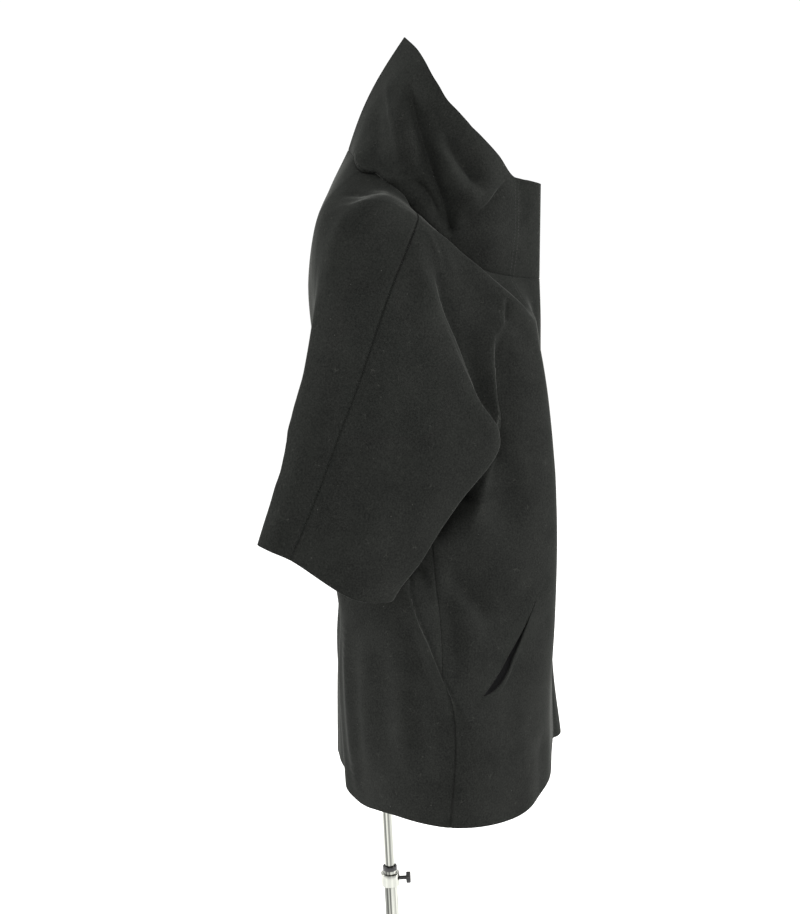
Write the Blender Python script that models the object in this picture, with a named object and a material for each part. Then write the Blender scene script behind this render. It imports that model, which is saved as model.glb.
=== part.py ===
"""A short wool coat with a high funnel collar and cut-on sleeves, on a limbless dress form and stand.

Metres, +Z up.  The coat faces -Y, and its right side is at -X.  The origin is on the floor, on the
axis of the stand's pole.  Sizes in the tables are millimetres.
"""
import math

import bpy
import numpy as np

MM = 0.001
SHARP_ANGLE = math.radians(40)

# Cloth
CLOTH = 2.4           # thickness of the felted wool
SEAM_GAP = 0.3        # between two pieces at a seam
LAP_GAP = 0.7         # between the two fronts where one lies over the other
LAP = 36              # how far the left front runs under the right
LAP_STEP = 12         # spacing of the columns of points in the lap
LAP_RAMP = 2          # columns over which the left front comes out from under the right
COLLAR_BULGE = 9      # how far the collar's sides swell between neck seam and rim

# Pocket in each front: a curved slit, and a pouch sewn flat to the inside round its edges
POCKET_MOUTH = 9      # widest gap of the slit
POCKET_END = 0.6      # gap at its two ends
POCKET_STEPS = 14
POCKET_REACH = 14     # half the depth of the cut
POUCH_CLOTH = 1.2
POUCH_SEAT = 0.6      # between the front's inside and the pouch's sewn edge
POUCH_SLACK = 9       # how far the pouch stands off in its middle

# Dress form
FORM_SIDES = 40
FORM_SQUARENESS = 2.3
NECK_CAP = 8          # height of the cap
NECK_CAP_COLUMNS = ("rise", "scale")
NECK_CAP_LEVELS = ((0.7, 1.0), (0.93, 0.95), (1.0, 0.86))
SOCKET_RADIUS = 15
SOCKET_HEIGHT = 46
SOCKET_FLANGE_RADIUS = 30
SOCKET_FLANGE = 4

# Stand
ROUND_SIDES = 28
POLE_RADIUS = 7.5
POLE_FOOT = 120
TUBE_RADIUS = 10
TUBE_BORE = 7.9
TUBE_TOP = 352
BUSH_RADIUS = 10.8
BUSH_HEIGHT = 6
CLAMP_RADIUS = 14.5
CLAMP_HEIGHT = 20
CLAMP_DROP = 5        # from the tube's rim down to the clamp
SCREW_RADIUS = 3
SCREW_REACH = 24      # from the pole's axis to the knob
KNOB_RADIUS = 8.5
KNOB_WIDTH = 7
BASE_RADIUS = 175
BASE_EDGE = 5
BASE_CROWN = 11
BASE_BEVEL = 2
HUB_FOOT_RADIUS = 40
HUB_FOOT = 3          # how far the hub's straight side starts above the crown
HUB_RADIUS = 20
HUB_HEIGHT = 34
EDGE_BEVEL = 1        # on the small turned pieces
SEAT_GAP = 0.3        # between hard pieces that rest on each other

# The front edge at each level: forward of the pole, height, and how far the front falls back and
# its level rises over the width of the lap.
EDGE_COLUMNS = ("forward", "height", "fall", "rise")
FRONT_EDGE = {
    "neck": (254, 1237, 25, 4),
    "shoulder": (254, 1188, 14, 3),
    "chest": (252, 1130, 7, 2),
    "upper arm": (252, 1074, 4, 0),
    "elbow": (254, 1014, 3, 0),
    "underarm": (256, 952, 3, 0),
    "waist": (256, 880, 3, 0),
    "hip": (255, 770, 5, 0),
    "thigh": (257, 660, 10, 0),
    "hem": (266, 562, 17, 2),
}
RIM_EDGE = (260, 1368, 40, 11)

# Lines that run down the right half from the neck seam, as out from the middle, forward of the pole
# and height.  A row is one level.
BODY_COLUMNS = ("quarter", "ridge", "blade", "centre back")
BODY_LEVELS = {
    "neck": ((78, 173, 1257), (94, 130, 1289), (55, 6, 1414), (0, -4, 1426)),
    "shoulder": ((100, 226, 1214), (146, 166, 1263), (100, -43, 1346), (0, -41, 1356)),
    "chest": ((106, 239, 1150), (138, 194, 1186), (112, -63, 1255), (0, -65, 1268)),
    "upper arm": ((112, 247, 1085), (160, 187, 1118), (118, -60, 1150), (0, -63, 1155)),
    "elbow": ((116, 251, 1016), (172, 191, 1042), (124, -56, 1060), (0, -60, 1060)),
    "underarm": ((120, 253, 952), (176, 186, 962), (134, -51, 957), (0, -57, 957)),
    "waist": ((124, 252, 880), (188, 184, 880), (146, -48, 880), (0, -54, 880)),
    "hip": ((130, 245, 770), (208, 179, 770), (157, -46, 770), (0, -53, 770)),
    "thigh": ((134, 235, 660), (220, 177, 660), (162, -44, 660), (0, -62, 660)),
    "hem": ((128, 233, 540), (216, 182, 530), (160, -41, 545), (0, -68, 547)),
}
SLEEVE_COLUMNS = ("front fold", "outer front", "overarm", "crown", "back fold", "inner back")
SLEEVE_LEVELS = {
    "neck": ((101, 95, 1324), (101, 87, 1332), (100, 80, 1339), (97, 58, 1364),
             (92, 41, 1382), (86, 28, 1394)),
    "shoulder": ((179, 104, 1306), (183, 93, 1316), (184, 82, 1325), (194, 28, 1352),
                 (196, -16, 1334), (172, -34, 1336)),
    "chest": ((218, 97, 1207), (228, 69, 1226), (231, 42, 1238), (229, -8, 1256),
              (214, -44, 1244), (190, -51, 1244)),
    "upper arm": ((229, 138, 1108), (257, 66, 1118), (267, -2, 1130), (260, -42, 1142),
                  (241, -74, 1128), (214, -60, 1130)),
    "elbow": ((222, 174, 1045), (270, 68, 1052), (280, -28, 1072), (272, -66, 1082),
              (253, -94, 1072), (224, -60, 1070)),
    "underarm": ((240, 118, 972), (287, 32, 978), (292, -58, 1002), (285, -94, 1010),
                 (266, -114, 1000), (236, -25, 990)),
    "forearm": ((251, 80, 922), (294, 4, 924), (297, -78, 960), (291, -110, 967),
                (272, -127, 965), (246, -36, 942)),
    "sleeve hem": ((266, 37, 858), (301, -16, 867), (302, -96, 923), (296, -121, 934),
                   (277, -137, 938), (256, -58, 896)),
}
CREASE_COLUMNS = ("front crease in", "front crease out", "back crease out", "back crease in")
CREASE_LEVELS = {
    "neck": ((98, 111, 1307), (100, 103, 1315), (80, 20, 1401), (75, 16, 1405)),
    "shoulder": ((160, 138, 1282), (167, 126, 1290), (150, -40, 1341), (138, -42, 1343)),
    "chest": ((166, 142, 1201), (177, 130, 1205), (168, -55, 1246), (157, -57, 1246)),
    "upper arm": ((185, 150, 1118), (195, 146, 1118), (184, -47, 1132), (173, -46, 1132)),
    "elbow": ((184, 153, 1034), (197, 152, 1034), (196, -12, 1052), (184, -9, 1052)),
    "underarm": ((203, 80, 962), (215, 79, 962), (215, 79, 962), (203, 80, 962)),
}
SIDE_SEAM = {
    "underarm": (203, 80, 962),
    "waist": (222, 84, 880),
    "hip": (249, 94, 770),
    "thigh": (264, 100, 660),
    "hem": (271, 88, 544),
}
UNDERARM_SEAM = {
    "underarm": (215, 79, 962),
    "forearm": (234, 56, 922),
    "sleeve hem": (246, 18, 868),
}

# Rim of the collar, one point for each line that meets the neck seam
RIM = {
    "quarter": (62, 198, 1408),
    "ridge": (80, 175, 1433),
    "front crease in": (85, 166, 1442),
    "front crease out": (87, 162, 1446),
    "front fold": (89, 158, 1451),
    "outer front": (90, 152, 1458),
    "overarm": (91, 145, 1466),
    "crown": (89, 131, 1482),
    "back fold": (83, 121, 1501),
    "inner back": (75, 114, 1514),
    "back crease out": (64, 108, 1528),
    "back crease in": (59, 106, 1533),
    "blade": (36, 96, 1553),
    "centre back": (0, 81, 1573),
}

JOINED_LEVELS = ("neck", "shoulder", "chest", "upper arm", "elbow", "underarm")
SKIRT_LEVELS = ("underarm", "waist", "hip", "thigh", "hem")
LOWER_SLEEVE_LEVELS = ("underarm", "forearm", "sleeve hem")
FRONT_BODY_LINES = ("quarter", "ridge")
FRONT_SLEEVE_LINES = ("front fold", "outer front", "overarm")
BACK_SLEEVE_LINES = ("crown", "back fold", "inner back")
BACK_BODY_LINES = ("blade", "centre back")
FRONT_LINES = FRONT_BODY_LINES + ("front crease in", "front crease out") + FRONT_SLEEVE_LINES
BACK_LINES = BACK_SLEEVE_LINES + ("back crease out", "back crease in") + BACK_BODY_LINES

# How many strips of faces lie between one level and the next, and between each line and the one before it
JOINED_ROWS = (4, 4, 3, 3, 3)
SKIRT_ROWS = (3, 3, 3, 3)
LOWER_SLEEVE_ROWS = (2, 3)
COLLAR_ROWS = 6
LINE_STRIPS = {
    "quarter": 3, "ridge": 3, "front crease in": 3, "front crease out": 1,
    "front fold": 2, "outer front": 3, "overarm": 3,
    "crown": 2, "back fold": 2, "inner back": 2,
    "back crease out": 2, "back crease in": 1, "blade": 5, "centre back": 3,
}

# Soft folds pressed into or raised from the coat: where each starts and ends, as out, forward and
# height, its half width, and how far it stands out (a trough is less than nothing).
FOLD_COLUMNS = ("start", "end", "half_width", "rise")
BODY_FOLDS = (
    ((226, 46, 890), (266, 118, 660), 17, 14),
    ((222, 108, 915), (200, 176, 772), 32, -9),
    ((226, 92, 872), (258, 108, 730), 15, -8),
    ((60, 246, 700), (60, 249, 545), 26, 4),
    ((150, -48, 800), (150, -48, 545), 18, 5),
    ((180, 196, 1020), (186, 172, 900), 26, -6),
)
COLLAR_FOLDS = (
    ((86, 62, 1502), (104, 68, 1400), 13, 6),
    ((92, 92, 1490), (104, 110, 1350), 15, -6),
    ((94, 118, 1470), (100, 134, 1340), 13, 5),
    ((90, 124, 1462), (84, 176, 1370), 14, -6),
    ((70, 24, 1440), (98, 66, 1376), 10, -5),
)

# The pocket's slit, from its top at the front to its low end at the side
POCKET_LINE = ((166, 222, 823), (187, 203, 789), (208, 183, 759), (231, 159, 729), (248, 138, 712))

# Dress form, a row for each level, with its back and front as forward of the pole
FORM_COLUMNS = ("height", "half_width", "back", "front")
FORM_LEVELS = (
    (640, 150, -42, 118),
    (690, 164, -45, 130),
    (740, 170, -45, 134),
    (800, 168, -44, 130),
    (860, 157, -42, 121),
    (930, 140, -38, 112),
    (1000, 130, -36, 110),
    (1050, 131, -38, 120),
    (1100, 136, -43, 134),
    (1160, 146, -49, 146),
    (1210, 155, -52, 140),
    (1260, 164, -53, 124),
    (1300, 170, -49, 104),
    (1326, 168, -41, 86),
    (1344, 158, -32, 77),
    (1358, 138, -23, 71),
    (1370, 109, -13, 66),
    (1382, 80, -4, 67),
    (1395, 63, 2, 74),
    (1411, 56, 8, 83),
    (1428, 53, 14, 91),
)

WOOL = (0.026, 0.028, 0.025)
LINING = (0.012, 0.012, 0.013)
CALICO = (0.62, 0.56, 0.46)
WOOD = (0.22, 0.11, 0.05)
CHROME = (0.72, 0.73, 0.74)
BLACK_METAL = (0.03, 0.03, 0.032)


def spline_span(points, knots, share):
    """One span of a smooth curve through four points, at a share of the way from the second to the third."""
    time = knots[1] + share * (knots[2] - knots[1])

    def mix(first, second, start, end):
        return ((end - time) * first + (time - start) * second) / (end - start)

    a = [mix(points[k], points[k + 1], knots[k], knots[k + 1]) for k in range(3)]
    b = [mix(a[k], a[k + 1], knots[k], knots[k + 2]) for k in range(2)]
    return mix(b[0], b[1], knots[1], knots[2])


def spline(points, steps):
    """Smooth curves through points along the first axis, cut into the given number of steps a span."""
    points = np.asarray(points, float)
    padded = np.concatenate([2 * points[:1] - points[1:2], points, 2 * points[-1:] - points[-2:-1]])
    chords = np.linalg.norm(np.diff(padded, axis=0), axis=-1, keepdims=True)
    knots = np.concatenate([np.zeros_like(chords[:1]), np.cumsum(np.sqrt(chords), axis=0)])
    rows = []
    for span, count in enumerate(steps):
        for step in range(count):
            rows.append(spline_span(padded[span:span + 4], knots[span:span + 4], step / count))
    rows.append(points[-1])
    return np.array(rows)


def line_points(name, levels):
    """The points of one named line at the given levels."""
    tables = ((BODY_COLUMNS, BODY_LEVELS), (SLEEVE_COLUMNS, SLEEVE_LEVELS), (CREASE_COLUMNS, CREASE_LEVELS))
    for columns, rows in tables:
        if name in columns:
            return [rows[level][columns.index(name)] for level in levels]
    raise KeyError(name)


def edge_point(row, out):
    """A point of the front near its edge, which falls back from the edge as a parabola."""
    edge = dict(zip(EDGE_COLUMNS, row))
    share = (out / LAP) ** 2
    return (out, edge["forward"] - edge["fall"] * share, edge["height"] + edge["rise"] * share)


def lap_outs(under):
    """Sideways places of the columns in the lap: the left front has some past the middle."""
    first = -LAP if under else 0
    return list(range(first, LAP + 1, LAP_STEP))


def levels_of(line):
    """All the levels that a line runs through without a corner."""
    if line in BODY_COLUMNS:
        return JOINED_LEVELS + SKIRT_LEVELS[1:]
    if line in SLEEVE_COLUMNS:
        return JOINED_LEVELS + LOWER_SLEEVE_LEVELS[1:]
    return JOINED_LEVELS


def rows_of(line):
    """Strips between the levels of a line."""
    if line in BODY_COLUMNS:
        return JOINED_ROWS + SKIRT_ROWS
    if line in SLEEVE_COLUMNS:
        return JOINED_ROWS + LOWER_SLEEVE_ROWS
    return JOINED_ROWS


def smooth_rise(share):
    """A soft step from 0 to 1."""
    share = np.clip(share, 0, 1)
    return share * share * (3 - 2 * share)


def add_folds(points, normals, folds):
    """Points moved along their normals by soft ridges and troughs, which fade out at both ends."""
    moved = points.copy()
    for row in folds:
        fold = dict(zip(FOLD_COLUMNS, row))
        start = np.array(fold["start"], float)
        run = np.array(fold["end"], float) - start
        along = np.clip((points - start) @ run / (run @ run), 0, 1)
        off = np.linalg.norm(points - start - along[..., None] * run, axis=-1)
        shape = np.exp(-(off / fold["half_width"]) ** 2) * smooth_rise(4 * along * (1 - along))
        moved += (fold["rise"] * shape)[..., None] * normals
    return moved


def grid_faces(index):
    """Four-sided faces between neighbouring points of a grid of point numbers."""
    return np.stack([index[:-1, :-1], index[:-1, 1:], index[1:, 1:], index[1:, :-1]], axis=-1).reshape(-1, 4)


def point_normals(points, faces):
    """Area-weighted normal at each point."""
    a, b, c, d = (points[faces[:, k]] for k in range(4))
    facing = np.cross(c - a, d - b)
    normals = np.zeros_like(points)
    for k in range(4):
        np.add.at(normals, faces[:, k], facing)
    return normals / np.maximum(np.linalg.norm(normals, axis=1, keepdims=True), 1e-9)


class HalfCoat:
    """Middle surface of one half of the coat, as points shared by its front, back and collar."""

    def __init__(self, under):
        self.under = under
        self.points = []
        self.count = 0
        self.build_joined()
        self.build_skirt()
        self.build_lower_sleeve()
        self.build_collar()
        self.points = np.concatenate(self.points)
        self.shape_surface()

    def store(self, grid):
        """Adds a grid of points and returns their numbers."""
        index = np.arange(self.count, self.count + grid[..., 0].size).reshape(grid.shape[:2])
        self.points.append(grid.reshape(-1, 3))
        self.count += index.size
        return index

    def front_columns(self, rows, steps):
        """Columns of points in the lap, at rows between the levels."""
        outs = lap_outs(self.under)
        return [spline([edge_point(row, out) for row in rows], steps) for out in outs]

    def strips(self, lines):
        """Strips of faces between the columns of the lap and then between the lines."""
        return (1,) * (len(lap_outs(self.under)) - 1) + tuple(LINE_STRIPS[line] for line in lines)

    def build_joined(self):
        lines = FRONT_LINES + BACK_LINES
        steps = JOINED_ROWS + SKIRT_ROWS
        edge = self.front_columns([FRONT_EDGE[level] for level in JOINED_LEVELS + SKIRT_LEVELS[1:]], steps)
        self.edge_columns = edge
        self.line_rows = {line: spline(line_points(line, levels_of(line)), rows_of(line)) for line in lines}
        last = sum(JOINED_ROWS) + 1
        columns = [column[:last] for column in edge] + [self.line_rows[line][:last] for line in lines]
        grid = spline(columns, self.strips(lines)).transpose(1, 0, 2)
        self.joined = self.store(grid)
        self.front_end = sum(self.strips(FRONT_LINES))
        self.side_front = sum(self.strips(FRONT_LINES[:3]))
        self.sleeve_front_start = self.side_front + LINE_STRIPS["front crease out"]
        self.sleeve_back_end = self.front_end + sum(LINE_STRIPS[line] for line in BACK_LINES[:4])
        self.side_back = self.sleeve_back_end + LINE_STRIPS["back crease in"]

    def build_skirt(self):
        first = sum(JOINED_ROWS)
        seam = spline([SIDE_SEAM[level] for level in SKIRT_LEVELS], SKIRT_ROWS)
        columns = [column[first:] for column in self.edge_columns]
        columns += [self.line_rows[line][first:] for line in FRONT_BODY_LINES]
        columns += [seam]
        columns += [self.line_rows[line][first:] for line in BACK_BODY_LINES]
        strips = self.strips(FRONT_LINES[:3]) + tuple(LINE_STRIPS[line] for line in BACK_BODY_LINES)
        grid = spline(columns, strips).transpose(1, 0, 2)[1:]
        index = self.store(grid)
        top = self.joined[-1]
        self.skirt_front = np.vstack([top[:self.side_front + 1], index[:, :self.side_front + 1]])
        self.skirt_back = np.vstack([top[self.side_back:], index[:, self.side_front:]])
        self.skirt_back[0, 0] = top[self.side_front]

    def build_lower_sleeve(self):
        first = sum(JOINED_ROWS)
        seam = spline([UNDERARM_SEAM[level] for level in LOWER_SLEEVE_LEVELS], LOWER_SLEEVE_ROWS)
        lines = FRONT_SLEEVE_LINES + BACK_SLEEVE_LINES
        columns = [seam] + [self.line_rows[line][first:] for line in lines] + [seam]
        around = columns[-3:-1] + columns + columns[1:3]
        strips = tuple(LINE_STRIPS[line] for line in lines) + (LINE_STRIPS["back crease out"],)
        grid = spline(around, (1, 1) + strips + (1, 1)).transpose(1, 0, 2)[1:, 2:-2]
        index = self.store(grid[:, :-1])
        index = np.hstack([index, index[:, :1]])
        top = self.joined[-1]
        middle = self.front_end - self.sleeve_front_start
        front_top = top[self.sleeve_front_start:self.front_end + 1]
        self.sleeve_front = np.vstack([front_top, index[:, :middle + 1]])
        self.sleeve_back = np.vstack([top[self.front_end:self.sleeve_back_end + 1], index[:, middle:]])
        self.sleeve_back[0, -1] = top[self.sleeve_front_start]

    def build_collar(self):
        lines = FRONT_LINES + BACK_LINES
        rim = [edge_point(RIM_EDGE, out) for out in lap_outs(self.under)] + [RIM[line] for line in lines]
        rim = spline(np.array(rim, float)[:, None], self.strips(lines))[:, 0]
        neck = np.concatenate(self.points)[self.joined[0]]
        rows = []
        middle = np.array((0, rim[:, 1].mean(), 0))
        outward = (rim - middle) * (1, 1, 0)
        outward /= np.linalg.norm(outward, axis=1, keepdims=True)
        side = smooth_rise((rim[0, 1] - rim[:, 1:2]) / (rim[0, 1] - RIM["ridge"][1]))
        for step in range(1, COLLAR_ROWS + 1):
            share = step / COLLAR_ROWS
            swell = COLLAR_BULGE * math.sin(math.pi * share)
            rows.append(neck + (rim - neck) * share + outward * side * swell)
        index = self.store(np.array(rows))
        self.collar = np.vstack([self.joined[:1], index])[::-1]

    def panels(self):
        """Grids of point numbers of each cloth piece."""
        joined_back = self.joined[:, self.front_end:].copy()
        joined_back[-1, self.side_back - self.front_end] = self.joined[-1, self.side_front]
        joined_back[-1, self.sleeve_back_end - self.front_end] = self.joined[-1, self.sleeve_front_start]
        return {
            "front": (self.joined[:, :self.front_end + 1], self.skirt_front, self.sleeve_front),
            "back": (joined_back, self.skirt_back, self.sleeve_back),
            "collar": (self.collar,),
        }

    def shape_surface(self):
        """Adds the folds, tucks the left front under the right, and works out the normals."""
        panels = self.panels()
        self.pieces = {name: np.vstack([grid_faces(grid) for grid in panels[name]]) for name in panels}
        everything = np.vstack(list(self.pieces.values()))
        normals = self.normals_of(everything)
        self.points = add_folds(self.points, normals, BODY_FOLDS + COLLAR_FOLDS)
        normals = self.normals_of(everything)
        if self.under:
            self.points -= self.tuck()[:, None] * normals
        self.normals = normals

    def normals_of(self, faces):
        """Normals at the points, which lie in the middle plane along the centre back seam."""
        normals = point_normals(self.points, faces)
        for grid in (self.joined, self.skirt_back, self.collar):
            normals[grid[:, -1], 0] = 0
        return normals / np.maximum(np.linalg.norm(normals, axis=1, keepdims=True), 1e-9)

    def tuck(self):
        """How far in each point of the left front lies, so that it passes under the right front."""
        columns = len(lap_outs(True))
        flat = columns - 1 - LAP // LAP_STEP
        depth = np.zeros(self.count)
        place = np.arange(columns)
        fade = 1 - smooth_rise((place - flat) / LAP_RAMP)
        for grid in (self.joined, self.skirt_front, self.collar):
            depth[grid[:, :columns]] = (CLOTH + LAP_GAP) * fade
        return depth


def wall(points, normals, faces, thickness, gap=SEAM_GAP):
    """A closed wall: the faces moved out and in by half the thickness, drawn in a little at their rim."""
    used = np.unique(faces)
    renumber = np.full(len(points), -1)
    renumber[used] = np.arange(len(used))
    faces = renumber[faces]
    points = points[used].copy()
    normals = normals[used]
    edges = {}
    for face in faces:
        for a, b in zip(face, np.roll(face, -1)):
            edges[(a, b)] = edges.get((a, b), 0) + 1
    rim = [(a, b) for a, b in edges if (b, a) not in edges]
    inward = np.zeros_like(points)
    for a, b in rim:
        along = points[b] - points[a]
        aside = np.cross(normals[a] + normals[b], along)
        aside /= np.linalg.norm(aside)
        inward[a] += aside
        inward[b] += aside
    length = np.linalg.norm(inward, axis=1, keepdims=True)
    points += np.where(length > 0, inward / np.maximum(length, 1e-9), 0) * gap / 2
    count = len(points)
    outer = points + normals * thickness / 2
    inner = points - normals * thickness / 2
    halves = np.concatenate([faces[:, [0, 1, 2]], faces[:, [0, 2, 3]]])
    solid = [tuple(face) for face in halves]
    solid += [tuple(face[::-1] + count) for face in halves]
    solid += [(b, a, a + count, b + count) for a, b in rim]
    return np.vstack([outer, inner]), solid


def material(name, colour, roughness, metallic=0.0):
    """A plain coloured finish."""
    finish = bpy.data.materials.new(name)
    finish.use_nodes = True
    shader = finish.node_tree.nodes["Principled BSDF"]
    shader.inputs["Base Color"].default_value = (*colour, 1)
    shader.inputs["Roughness"].default_value = roughness
    shader.inputs["Metallic"].default_value = metallic
    return finish


def place(points, left=False):
    """Out, forward and height in mm turned into the object's own frame in metres."""
    out, forward, height = np.asarray(points, float).T
    return np.stack([out if left else -out, -forward, height], axis=1) * MM


def add_object(name, points, faces, finish, location=(0, 0, 0)):
    """An object from points in metres about its own place, shaded smooth but for its sharp edges."""
    mesh = bpy.data.meshes.new(name)
    mesh.from_pydata([tuple(point) for point in points], [], [tuple(int(k) for k in face) for face in faces])
    mesh.shade_smooth()
    mesh.set_sharp_from_angle(angle=SHARP_ANGLE)
    if finish:
        mesh.materials.append(finish)
    thing = bpy.data.objects.new(name, mesh)
    bpy.context.collection.objects.link(thing)
    thing.location = location
    return thing


def add_cloth(name, points, faces, finish, left):
    """A cloth wall of one half, mirrored for the left side."""
    if left:
        faces = [face[::-1] for face in faces]
    return add_object(name, place(points, left), faces, finish)


def clear_scene():
    for thing in list(bpy.data.objects):
        bpy.data.objects.remove(thing, do_unlink=True)


def build_coat(wool, lining):
    for left in (False, True):
        half = HalfCoat(under=left)
        side = "left" if left else "right"
        for piece, faces in half.pieces.items():
            points, solid = wall(half.points, half.normals, faces, CLOTH)
            cloth = add_cloth(f"{piece}_{side}", points, solid, wool, left)
            if piece == "front":
                cut_pocket(cloth, side, left)
        build_pouch(half, f"pocket_{side}", lining, left)


def pocket_sections():
    """Places along the pocket's slit, the way across it and the way out of the cloth."""
    count = len(POCKET_LINE) - 1
    path = spline(np.array(POCKET_LINE, float)[:, None], (POCKET_STEPS // count + 1,) * count)[:, 0]
    along = np.gradient(path, axis=0)
    along /= np.linalg.norm(along, axis=1, keepdims=True)
    outward = path * (1, 1, 0) - (0, path[-1, 1] / 2, 0)
    outward /= np.linalg.norm(outward, axis=1, keepdims=True)
    across = np.cross(outward, along)
    across /= np.linalg.norm(across, axis=1, keepdims=True)
    return path, across, np.cross(along, across)


def cut_pocket(cloth, side, left):
    """Cuts the slit through a front with a lens-shaped blade."""
    path, across, outward = pocket_sections()
    share = np.linspace(0, 1, len(path))
    half = (POCKET_END + (POCKET_MOUTH - POCKET_END) * np.sin(math.pi * share)) / 2
    corners = [(1, 1), (-1, 1), (-1, -1), (1, -1)]
    rings = [path + across * (half * a)[:, None] + outward * POCKET_REACH * b for a, b in corners]
    points = np.stack(rings, axis=1).reshape(-1, 3)
    faces = []
    for k in range(len(path) - 1):
        for c in range(4):
            d = (c + 1) % 4
            faces.append((4 * k + c, 4 * k + d, 4 * k + 4 + d, 4 * k + 4 + c))
    last = 4 * (len(path) - 1)
    faces += [(3, 2, 1, 0), (last, last + 1, last + 2, last + 3)]
    cutter = add_cloth(f"pocket_cutter_{side}", points, faces, None, left)
    cutter.hide_render = True
    cutter.display_type = "WIRE"
    cut = cloth.modifiers.new("pocket slit", "BOOLEAN")
    cut.operation = "DIFFERENCE"
    cut.solver = "EXACT"
    cut.object = cutter


def build_pouch(half, name, lining, left):
    """A pouch behind the slit: the front's own points moved in, furthest in its middle."""
    quarter = sum(half.strips(FRONT_LINES[:1]))
    grid = half.skirt_front[SKIRT_ROWS[0] + 1:sum(SKIRT_ROWS[:3]) + 1, quarter - 1:-1]
    rows, columns = grid.shape
    down = np.linspace(0, 1, rows)[:, None]
    across = np.linspace(0, 1, columns)[None, :]
    slack = smooth_rise(4 * down * (1 - down)) * smooth_rise(4 * across * (1 - across))
    depth = (CLOTH + POUCH_CLOTH) / 2 + POUCH_SEAT + POUCH_SLACK * slack
    points = half.points.copy()
    points[grid] -= depth[..., None] * half.normals[grid]
    points, solid = wall(points, half.normals, grid_faces(grid), POUCH_CLOTH)
    add_cloth(name, points, solid, lining, left)


def turned(profile, loop=False, sides=ROUND_SIDES):
    """A solid turned about Z from radii and heights, which run up its outer side: capped, or a loop."""
    turn = np.arange(sides) * 2 * math.pi / sides
    circle = np.stack([np.cos(turn), np.sin(turn)], axis=1)
    points = [(radius * x, radius * y, height) for radius, height in profile for x, y in circle]
    index = np.arange(len(points)).reshape(len(profile), sides)
    rings = np.vstack([index, index[:1]]) if loop else index
    rings = np.hstack([rings, rings[:, :1]])
    faces = [tuple(face) for face in grid_faces(rings)]
    if not loop:
        faces += [tuple(index[0][::-1]), tuple(index[-1])]
    return np.array(points), faces


def form_ring(row):
    """One level of the dress form: its height and a squared oval."""
    level = dict(zip(FORM_COLUMNS, row))
    turn = np.arange(FORM_SIDES) * 2 * math.pi / FORM_SIDES
    power = 2 / FORM_SQUARENESS
    across = np.sign(np.sin(turn)) * np.abs(np.sin(turn)) ** power
    ahead = np.sign(np.cos(turn)) * np.abs(np.cos(turn)) ** power
    middle = (level["front"] + level["back"]) / 2
    depth = (level["front"] - level["back"]) / 2
    return level["height"], np.stack([-level["half_width"] * across, -middle - depth * ahead], axis=1)


def lofted_rings(rings):
    """A solid through level rings, each a height and its outline, from the lowest up."""
    points = [(x, y, height) for height, outline in rings for x, y in outline]
    index = np.arange(len(points)).reshape(len(rings), -1)
    closed = np.hstack([index, index[:, :1]])[:, ::-1]
    faces = [tuple(face) for face in grid_faces(closed)]
    faces += [tuple(index[0]), tuple(index[-1][::-1])]
    return np.array(points), faces


def build_form(calico, wood, steel):
    rings = [form_ring(row) for row in FORM_LEVELS]
    points, faces = lofted_rings(rings)
    add_object("form_torso", points * MM, faces, calico)

    top, outline = rings[-1]
    middle = outline.mean(axis=0)
    cap = [(top + SEAT_GAP, outline)]
    for row in NECK_CAP_LEVELS:
        level = dict(zip(NECK_CAP_COLUMNS, row))
        cap.append((top + NECK_CAP * level["rise"], middle + (outline - middle) * level["scale"]))
    points, faces = lofted_rings(cap)
    add_object("neck_cap", points * MM, faces, wood)

    seat = rings[0][0] - SEAT_GAP
    under = seat - SOCKET_FLANGE
    profile = (
        (TUBE_BORE, under), (TUBE_BORE, seat - SOCKET_HEIGHT), (SOCKET_RADIUS, seat - SOCKET_HEIGHT),
        (SOCKET_RADIUS, under), (SOCKET_FLANGE_RADIUS, under), (SOCKET_FLANGE_RADIUS, seat),
    )
    points, faces = turned(profile)
    add_object("form_socket", points * MM, faces, steel)
    return under


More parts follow.
